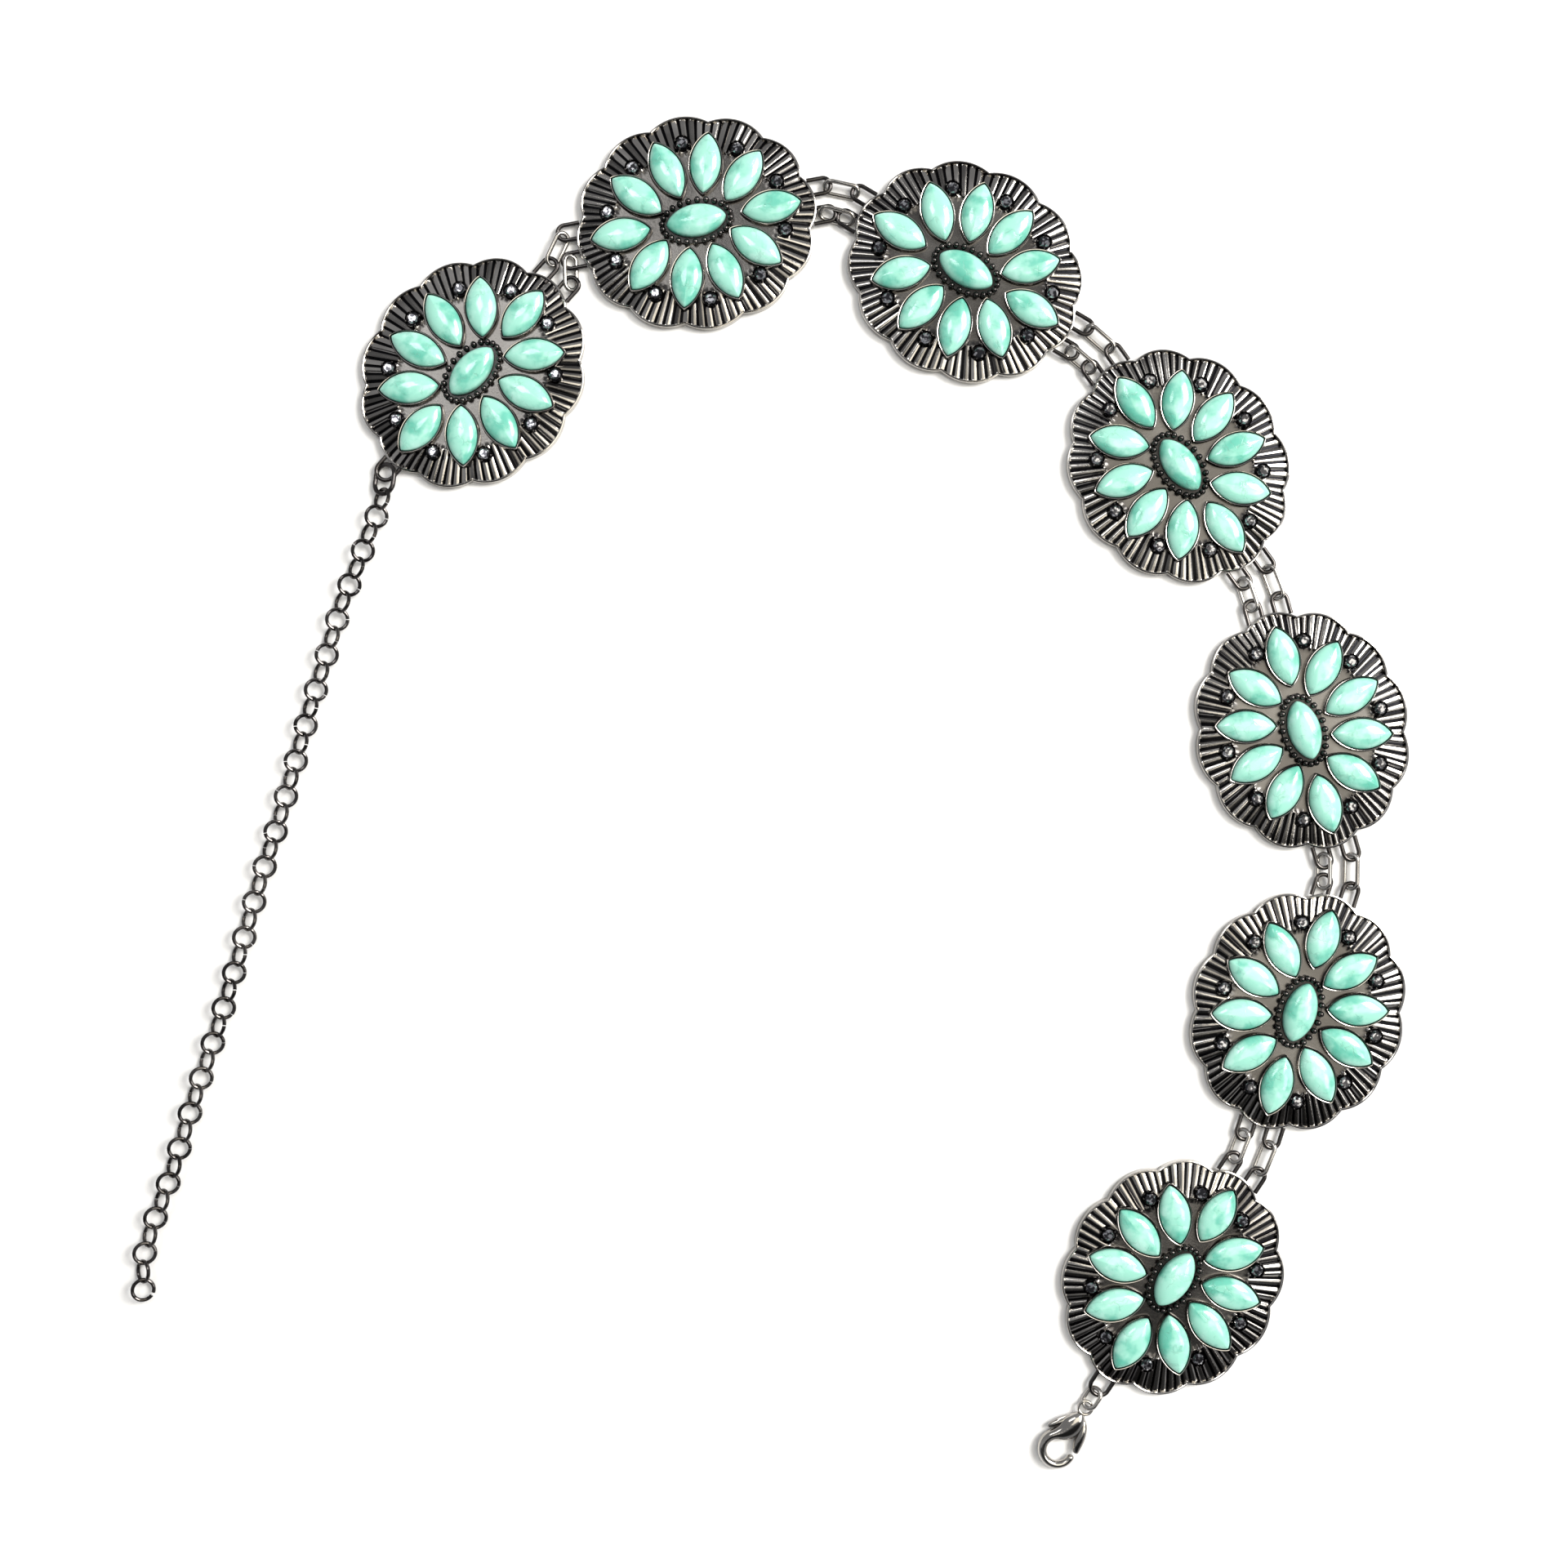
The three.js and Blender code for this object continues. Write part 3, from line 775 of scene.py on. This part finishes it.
def rhinestone_form():
    form = bmesh.new()
    radius = RHINESTONE_SIZE / 2
    bmesh.ops.create_cone(form, cap_ends=True, segments=STONE_SIDES, radius1=radius,
                          radius2=radius * 0.92, depth=0.3)
    top = max(form.faces, key=lambda face: face.calc_center_median().z)
    bmesh.ops.inset_individual(form, faces=[top], thickness=radius * 0.33, depth=0.62)
    table = max(form.faces, key=lambda face: face.calc_center_median().z)
    turned = Matrix.Rotation(TURN / STONE_SIDES / 2, 3, "Z")
    bmesh.ops.rotate(form, cent=(0, 0, 0), matrix=turned, verts=list(table.verts))
    bmesh.ops.triangulate(form, faces=[face for face in form.faces if len(face.verts) == 4])
    bmesh.ops.translate(form, vec=(0, 0, CUP_TOP - 0.1), verts=form.verts)
    return form


def cup_form():
    form = bmesh.new()
    painted_shade_and_tone = form.verts.layers.float.new("painted_shade_and_tone")
    bmesh.ops.create_cone(form, cap_ends=True, segments=CUP_SIDES, radius1=CUP_SIZE / 2 + 0.15,
                          radius2=CUP_SIZE / 2, depth=CUP_TOP - GROUND)
    bmesh.ops.translate(form, vec=(0, 0, (CUP_TOP + GROUND) / 2 - 0.2), verts=form.verts)
    top = max(form.faces, key=lambda face: face.calc_center_median().z)
    bmesh.ops.inset_individual(form, faces=[top], thickness=0.3)
    bmesh.ops.translate(form, vec=(0, 0, -0.5), verts=list(top.verts))
    # The cup's inside under the rhinestone is painted fully dark: painted shade
    for vert in top.verts:
        vert[painted_shade_and_tone] = 1.0
    for number in range(PRONGS):
        angle = (number + 0.5) / PRONGS * TURN
        place = Vector((math.cos(angle), math.sin(angle), 0)) * (CUP_SIZE / 2 - 0.2)
        matrix = Matrix.Translation((place.x, place.y, CUP_TOP + 0.1)) @ Matrix.Diagonal((1, 1, 1.2, 1))
        bmesh.ops.create_uvsphere(form, u_segments=8, v_segments=6, radius=PRONG / 2, matrix=matrix)
    return form


def rhinestone_places():
    places = []
    for number in range(RHINESTONES):
        place = oval(*RHINESTONE_RING, (number - 0.5) / RHINESTONES * TURN)
        turned = Matrix.Rotation(number / RHINESTONES * TURN, 4, "Z")
        places.append(Matrix.Translation((place.x, place.y, 0)) @ turned)
    return places


rhinestone_mesh = kept(rhinestone_form())
cup_mesh = kept(cup_form())
rhinestones_mesh = kept(gathered([(rhinestone_mesh, place) for place in rhinestone_places()]))
cups_mesh = kept(gathered([(cup_mesh, place) for place in rhinestone_places()]))
print("ten rhinestones have", len(rhinestones_mesh.polygons), "faces")

# %% [markdown]
# ## Seven conchos
# The same meshes are copied to each concho's place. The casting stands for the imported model's concho, and
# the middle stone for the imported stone. Patterns read the object's coordinates, so no two stones are alike.

# %% Placing the conchos
for index, (heading, place) in enumerate(zip(CONCHO_HEADINGS, CONCHO_MIDDLES)):
    number = index + 1
    lies = lying(place, heading)
    is_last = number == len(CONCHO_HEADINGS)
    eyelets = kept(gathered(eyelet_copies(number == 1, is_last)))
    finished(f"casting_{number}", casting_mesh, GUNMETAL_FINISH, lies, [f"concho_{number}"])
    finished(f"eyelets_{number}", eyelets, CHAIN_FINISH, lies)
    finished(f"bezels_{number}", bezels_mesh, GUNMETAL_FINISH, lies)
    finished(f"seat_{number}", seat_mesh, GUNMETAL_FINISH, lies)
    finished(f"beads_{number}", beads_mesh, CHAIN_FINISH, lies)
    finished(f"cups_{number}", cups_mesh, CHAIN_FINISH, lies)
    finished(f"rhinestones_{number}", rhinestones_mesh, SMOKY_FINISH, lies, crease=0)
    finished(f"petals_{number}", petals_mesh, TURQUOISE_FINISH, lies)
    finished(f"middle_stone_{number}", stone_mesh, TURQUOISE_FINISH, lies, [f"centre_stone_{number}"])
print("placed", len(CONCHO_MIDDLES), "conchos")

# %% [markdown]
# ## Oval links
# Two long oval links join each pair of conchos, through one eyelet of either. A link is a closed wire
# through two half circles. It leans over as far as the surface below lets it, so both of its bars show.
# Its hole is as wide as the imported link's, and its wire is thicker, as a real link's looks from above.

# %% Oval links
TABLE_ROOM = 0.06
BEND_ROOM = 0.72
CONNECTOR = {"length": 11.2, "width": 4.5, "wire": 0.95}
CHAIN_JUMP_RING = {"length": 10, "width": 7.2, "wire": 1.05}
CLASP_JUMP_RING = {"length": 7.2, "width": 4.8, "wire": 0.95}
LINK_GROWTH = 1.4
LINK_STEPS = 12
LINK_SIDES = 12


def drawn_wire(size):
    """How far from the link's middle line its wire runs, and how thick it is drawn."""
    wire = size["wire"] * LINK_GROWTH
    return (size["width"] + wire) / 2 - size["wire"], wire


def link_mesh(size):
    bend, wire = drawn_wire(size)
    half = (size["length"] - size["width"]) / 2
    points = []
    for end in (1, -1):
        for step in range(LINK_STEPS + 1):
            angle = (step / LINK_STEPS - 0.5) * math.pi
            points.append(Vector((end * (half + bend * math.cos(angle)), end * bend * math.sin(angle), 0)))
    return kept(closed_loop(points, wire, LINK_SIDES))


def roll_over(size, height):
    """The steepest roll at which a link clears the surface below it."""
    bend, wire = drawn_wire(size)
    room = height - wire / 2 - 2 * TABLE_ROOM
    return math.degrees(math.asin(min(1, room / bend)))


def on_concho(index, along, across, height):
    heading = CONCHO_HEADINGS[index]
    place = CONCHO_MIDDLES[index] + headed(heading, along) + headed(heading + 90, across)
    place.z = height
    return place


connector_mesh = link_mesh(CONNECTOR)
for gap in range(len(CONCHO_MIDDLES) - 1):
    for side, across in (("left", EYELET_SPREAD / 2), ("right", -EYELET_SPREAD / 2)):
        start = on_concho(gap, EYELET_REACH, across, EYELET_HEIGHT)
        end = on_concho(gap + 1, -EYELET_REACH, across, EYELET_HEIGHT)
        lies = lying_between(start, end, roll_over(CONNECTOR, EYELET_HEIGHT))
        node = f"link_{gap + 1}_{side}"
        finished(f"oval_{node}", connector_mesh, GUNMETAL_FINISH, Matrix.Scale(mm, 4) @ lies, [node])
        off = ((start + end) / 2 * mm - middle_of(node)).length / mm
        print(f"{node} is {off:.2f} mm from its node")

# %% [markdown]
# ## The extender chain
# The chain starts with an oval jump ring that climbs from the end eyelet to the height of the chain. Its
# round rings lean one way and the other in turn, each a pitch from the one before, along the same few
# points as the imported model's chain. A ring like these is bent from wire, so it has a thin split on one of
# its sides, and the split of the last ring stands open.

# %% The chain's jump ring
RING_DIAMETER = 7.8
RING_WIRE = 1.15
RING_WELD = 0.15
RING_COUNT = 46
FLAT_ROLL = -20
LEANING_ROLL = 42
CHAIN_JUMP_HEADING = -96
CHAIN_JUMP_BACK = 1.8
CHAIN_JUMP_RISE = 0.25
WIRES_APART = 0.5

ring_radius = (RING_DIAMETER - RING_WIRE) / 2
chain_height = ring_radius * math.sin(math.radians(LEANING_ROLL)) + RING_WIRE / 2 + TABLE_ROOM / 2
end_hole = END_EYELET_WIDTH - 2 * EYELET_WIRE


def hooked_at(hole, wire):
    """How far from the middle of a hole a wire lies when it is pulled against the hole's edge."""
    return (hole - wire) / 2 - BEND_ROOM


chain_span = CHAIN_JUMP_RING["length"] - CHAIN_JUMP_RING["wire"]
climb = math.asin((chain_height - EYELET_HEIGHT) / chain_span)
jump_near = on_concho(0, -EYELET_REACH, 0, EYELET_HEIGHT)
jump_near += headed(CHAIN_JUMP_HEADING, -CHAIN_JUMP_BACK)
jump_far = jump_near + headed(CHAIN_JUMP_HEADING, chain_span * math.cos(climb))
jump_far.z = chain_height
jump_roll = roll_over(CHAIN_JUMP_RING, EYELET_HEIGHT + (chain_height - EYELET_HEIGHT) * CHAIN_JUMP_RISE)
finished("chain_oval_ring", link_mesh(CHAIN_JUMP_RING), CHAIN_FINISH,
         Matrix.Scale(mm, 4) @ lying_between(jump_near, jump_far, jump_roll), ["chain_jump_ring"])
print(f"the chain's jump ring runs to {jump_far.x:.1f}, {jump_far.y:.1f} mm")

# %% The chain's rings
ROUTE_STEPS = 400
CHAIN_ROUTE = [
    (0, 0),
    (-1.3, -4.4),
    (-3.7, -9.8),
    (-7.5, -20.3),
    (-12.1, -31.4),
    (-16.9, -47.5),
    (-22, -64.2),
    (-26.6, -80.8),
    (-31.1, -97),
    (-38.1, -119.5),
    (-44.1, -141.1),
    (-50.8, -163.6),
    (-58, -185.3),
    (-64.6, -207.3),
    (-70.4, -223),
    (-73.3, -233.1),
    (-73.4, -242.6),
    (-73.2, -256),
]


def ring_middles():
    pitch = RING_DIAMETER - 2 * RING_WIRE + RING_WELD
    wires_apart = CHAIN_JUMP_RING["wire"] / 2 + RING_WIRE / 2 + WIRES_APART
    start = jump_far + headed(CHAIN_JUMP_HEADING, ring_radius - wires_apart)
    corners = [start + Vector((x, y, 0)) for x, y in CHAIN_ROUTE]
    middles = [start]
    for first, second in zip(corners, corners[1:]):
        for step in range(ROUTE_STEPS):
            point = first.lerp(second, step / ROUTE_STEPS)
            if len(middles) < RING_COUNT and (point - middles[-1]).length >= pitch:
                middles.append(middles[-1] + (point - middles[-1]).normalized() * pitch)
    return middles


middles = ring_middles()
print("the chain has", len(middles), "rings")

# %% The chain's split rings
RING_STEPS = 28
RING_SIDES = 10
RING_TRIM = 0.2
SPLIT = 0.25
LAST_SPLIT = 1.0
SPLIT_TURNS = (60, 110)
LAST_SPLIT_TURN = 62


def split_ring(split):
    """A ring of wire whose two ends stand a little apart."""
    gap = split / ring_radius
    stations = []
    for step in range(RING_STEPS + 1):
        angle = gap / 2 + step / RING_STEPS * (TURN - gap)
        outwards = Vector((math.cos(angle), math.sin(angle), 0))
        stations.append((outwards * (ring_radius - RING_TRIM), outwards, RING_WIRE, RING_WIRE))
    return kept(open_bar(stations, RING_SIDES))


def chain_copies():
    ring = split_ring(SPLIT)
    last_ring = split_ring(LAST_SPLIT)
    copies = []
    for index, middle in enumerate(middles):
        before = middles[max(index - 1, 0)]
        after = middles[min(index + 1, len(middles) - 1)]
        half = (after - before).normalized() * ring_radius
        roll = LEANING_ROLL if index % 2 == 0 else FLAT_ROLL
        is_last = index == len(middles) - 1
        turn = LAST_SPLIT_TURN if is_last else chance.choice((-1, 1)) * chance.uniform(*SPLIT_TURNS)
        turned = Matrix.Rotation(math.radians(turn), 4, "Z")
        lies = lying_between(middle - half, middle + half, roll)
        copies.append((last_ring if is_last else ring, lies @ turned))
    return copies


chain_mesh = kept(gathered(chain_copies()))
finished("chain_rings", chain_mesh, CHAIN_FINISH, Matrix.Scale(mm, 4), ["extender_chain"])
print("the chain has", len(chain_mesh.polygons), "faces")

# %% [markdown]
# ## The lobster clasp
# The clasp's body is a drop-shaped shell that thins into a round hook. It is one bar swept from its neck
# round to the hook's tip, wide and deep at the shoulder and slim at the tip. The lever turns on a pin: one
# bar is the gate that closes the hook, and another the thumb tab that stands out on the other side. Each
# bar is given by a few rows, and a curve through them, the kind called Catmull-Rom, rounds it.

# %% The clasp's place
CLASP_HEADING = -123.7
CLASP_MIDDLE = 2.0
EYE_DIAMETER = 5.2
EYE_HOLE = 3.3

clasp_span = CLASP_JUMP_RING["length"] - CLASP_JUMP_RING["wire"]
last = len(CONCHO_MIDDLES) - 1
clasp_near = on_concho(last, EYELET_REACH, 0, EYELET_HEIGHT)
clasp_near += headed(CLASP_HEADING, hooked_at(end_hole, CLASP_JUMP_RING["wire"]))
clasp_far = clasp_near + headed(CLASP_HEADING, clasp_span)
clasp_far.z = CLASP_MIDDLE
clasp_roll = roll_over(CLASP_JUMP_RING, (EYELET_HEIGHT + CLASP_MIDDLE) / 2)
finished("clasp_oval_ring", link_mesh(CLASP_JUMP_RING), GUNMETAL_FINISH,
         Matrix.Scale(mm, 4) @ lying_between(clasp_near, clasp_far, clasp_roll), ["clasp_jump_ring"])
clasp_eye = clasp_far + headed(CLASP_HEADING, hooked_at(EYE_HOLE, CLASP_JUMP_RING["wire"]))
clasp_eye.z = CLASP_MIDDLE
clasp_lies = lying(clasp_eye, CLASP_HEADING)
print(f"the clasp's eye lies at {clasp_eye.x:.1f}, {clasp_eye.y:.1f} mm")

# %% The clasp's body
HOOK_MIDDLE = Vector((15.35, 0, 0))
HOOK_START = -138
HOOK_SWEEP = 232
HOOK_TIP = 101
HOOK_STEPS = 13
HOOK_RADIUS = 4.95
HOOK_DRAWN_IN = 0.4
HOOK_THICKNESS = 3.7
HOOK_THINNING = 1.5
HOOK_TIP_SIZE = 1.3
EYE_WIRE = 0.95
EYE_STEPS = 24


def between(a, b, c, d, share):
    """A number between b and c on the smooth curve through all four."""
    square = (2 * a - 5 * b + 4 * c - d) * share ** 2
    cube = (3 * (b - c) + d - a) * share ** 3
    return b + ((c - a) * share + square + cube) / 2


def eased(rows, parts=4):
    """More rows on a smooth curve through the given ones."""
    curve = []
    for index in range(len(rows) - 1):
        before, start = rows[max(index - 1, 0)], rows[index]
        end, after = rows[index + 1], rows[min(index + 2, len(rows) - 1)]
        for part in range(parts):
            curve.append(tuple(
                between(*numbers, part / parts) for numbers in zip(before, start, end, after)
            ))
    return curve + [rows[-1]]


def bar_stations(rows):
    """Rows of x, y, width and height become stations, each square to the line through its neighbours."""
    rows = eased(rows)
    points = [Vector((x, y, 0)) for x, y, width, height in rows]
    stations = []
    for index, (x, y, width, height) in enumerate(rows):
        tangent = points[min(index + 1, len(rows) - 1)] - points[max(index - 1, 0)]
        stations.append((points[index], Vector((tangent.y, -tangent.x, 0)), width, height))
    return stations


def around_hook(radius, angle, width, height):
    place = HOOK_MIDDLE + Vector((math.cos(angle), math.sin(angle), 0)) * radius
    return (place.x, place.y, width, height)


body_rows = [
    (1.9, 0.0, 1.2, 0.9),
    (2.6, 0.0, 3.2, 2.6),
    (4.2, -0.1, 5.2, 3.6),
    (6.2, -0.3, 6.7, 3.9),
    (8.2, -0.8, 6.7, 3.9),
    (10.0, -1.8, 5.5, 3.8),
]
for step in range(HOOK_STEPS + 1):
    share = step / HOOK_STEPS
    angle = math.radians(HOOK_START + HOOK_SWEEP * share)
    width = HOOK_THICKNESS - HOOK_THINNING * share ** 0.6
    height = HOOK_THICKNESS - HOOK_THINNING * share
    body_rows.append(around_hook(HOOK_RADIUS - HOOK_DRAWN_IN * share, angle, width, height))
tip_radius = HOOK_RADIUS - HOOK_DRAWN_IN
body_rows.append(around_hook(tip_radius, math.radians(HOOK_TIP), HOOK_TIP_SIZE, HOOK_TIP_SIZE))
body_form = open_bar(bar_stations(body_rows), 16)
eye_size = EYE_DIAMETER - 1
eye_points = [Vector((*oval(eye_size, eye_size, step / EYE_STEPS * TURN), 0)) for step in range(EYE_STEPS)]
eye_mesh = kept(closed_loop(eye_points, EYE_WIRE))
clasp_mesh = kept(gathered([(kept(body_form), Matrix.Identity(4)), (eye_mesh, Matrix.Identity(4))]))
finished("clasp_shell", clasp_mesh, GUNMETAL_FINISH, clasp_lies, ["clasp_body"])
print("the clasp's body has", len(clasp_mesh.polygons), "faces")

# %% The clasp's lever
gate_rows = [
    (3.4, 1.6, 1.0, 1.2),
    (5.2, 2.7, 2.4, 2.4),
    (7.4, 3.5, 3.0, 3.0),
    (9.6, 4.0, 3.2, 3.0),
    (11.6, 4.5, 2.7, 2.6),
    (12.9, 5.0, 1.9, 2.1),
    (13.3, 5.1, 1.3, 1.5),
]
tab_rows = [
    (5.0, -1.6, 3.2, 1.6),
    (6.8, -3.1, 3.2, 1.6),
    (8.6, -4.6, 2.5, 1.5),
    (10.2, -5.9, 1.7, 1.3),
    (10.9, -6.5, 0.9, 0.9),
]
lever_parts = [(kept(open_bar(bar_stations(rows))), Matrix.Identity(4)) for rows in (gate_rows, tab_rows)]
lever_mesh = kept(gathered(lever_parts))
finished("clasp_gate", lever_mesh, GUNMETAL_FINISH, clasp_lies, ["clasp_lever"], body="lever")
print("the lever has", len(lever_mesh.polygons), "faces")

# %% [markdown]
# ## Floor, lights and camera
# The belt lies on a white surface and is seen from straight above, in soft daylight from the right. Metal
# shows what it mirrors, so soft panels stand where the ribs need them: the window, a warm ceiling over the
# right half of the belt, and two smaller windows that draw bright lines on the outer conchos. A pale sky
# fills the shadows. It is dark high up on the near side, which the last concho mirrors.

# %% Floor
FLOOR_REACH = 3
GRAIN_SCALE = 3
floor_form = bmesh.new()
bmesh.ops.create_grid(floor_form, x_segments=1, y_segments=1, size=FLOOR_REACH)
floor_mesh = bpy.data.meshes.new("floor")
floor_form.to_mesh(floor_mesh)
floor_form.free()
floor = bpy.data.objects.new("floor", floor_mesh)
scene.collection.objects.link(floor)
paper = Finish("paper", Roughness=0.8)
grain = paper.noise(GRAIN_SCALE)
paper.surface_from(Base_Color=paper.mix(grain, rgb(0.93, 0.925, 0.915), rgb(0.95, 0.945, 0.935)))
floor_mesh.materials.append(paper.material)
print("laid the floor")

# %% Panels
# Each one's name, its place and size in metres, its power in watts and its colour
PANELS = [
    ("window", (1.6, 0.75, 1.8), (1.0, 1.0), 64, (1.0, 0.985, 0.96)),
    ("ceiling", (0.42, 0.04, 1.2), (0.76, 0.84), 4.2, (1.0, 0.94, 0.8)),
    ("far_window", (-0.3, 0.5, 1.2), (0.35, 0.35), 2.2, (1.0, 1.0, 1.0)),
    ("side_window", (1.2, -0.35, 1.3), (0.5, 0.5), 3.5, (1.0, 0.99, 0.97)),
]


def panel(name, place, size, power, colour):
    light = bpy.data.lights.new(name, "AREA")
    light.shape = "RECTANGLE"
    light.size, light.size_y = size
    light.energy = power
    light.color = colour
    lamp = bpy.data.objects.new(name, light)
    lamp.location = place
    lamp.rotation_mode = "QUATERNION"
    lamp.rotation_quaternion = (-Vector(place)).to_track_quat("-Z", "Y")
    scene.collection.objects.link(lamp)


for numbers in PANELS:
    panel(*numbers)
print("hung", len(PANELS), "panels")

# %% Sky
SKY_COLOUR = (0.93, 0.95, 1.0, 1)
SKY_STRENGTH = 0.42
SKY_SHADED = -0.39

# The dark side sets in between two values of the direction's Y and of its Z. The other two numbers are what
# each gives there, and their product is added to the sky's strength.
NEAR_SIDE = (-0.34, -0.2, 1, 0)
HIGH_UP = (0.4, 0.65, 0, SKY_SHADED)

sky = bpy.data.worlds.new("sky")
sky.use_nodes = True
tree = sky.node_tree
background = tree.nodes["Background"]
background.inputs["Color"].default_value = SKY_COLOUR
direction = tree.nodes.new("ShaderNodeTexCoord")
parts = tree.nodes.new("ShaderNodeSeparateXYZ")
strength = tree.nodes.new("ShaderNodeMath")
strength.operation = "MULTIPLY_ADD"
strength.inputs[2].default_value = SKY_STRENGTH
tree.links.new(direction.outputs["Generated"], parts.inputs["Vector"])
for factor, (axis, span) in enumerate((("Y", NEAR_SIDE), ("Z", HIGH_UP))):
    shade = tree.nodes.new("ShaderNodeMapRange")
    shade.interpolation_type = "SMOOTHSTEP"
    for name, value in zip(("From Min", "From Max", "To Min", "To Max"), span):
        shade.inputs[name].default_value = value
    tree.links.new(parts.outputs[axis], shade.inputs["Value"])
    tree.links.new(shade.outputs["Result"], strength.inputs[factor])
tree.links.new(strength.outputs["Value"], background.inputs["Strength"])
scene.world = sky
scene.view_settings.view_transform = "Standard"
print("hung the sky, with a strength of", SKY_STRENGTH)

# %% Camera
CAMERA_HEIGHT = 0.55
VIEW_WIDTH = 0.484
SENSOR_WIDTH = 36
AIM = Vector((0.0041, 0.0027, 0))
eye = bpy.data.cameras.new("camera")
eye.sensor_width = SENSOR_WIDTH
eye.lens = SENSOR_WIDTH * CAMERA_HEIGHT / VIEW_WIDTH
camera = bpy.data.objects.new("camera", eye)
camera.location = AIM + Vector((0, 0, CAMERA_HEIGHT))
scene.collection.objects.link(camera)
scene.camera = camera
print("the camera looks straight down from", CAMERA_HEIGHT, "m")
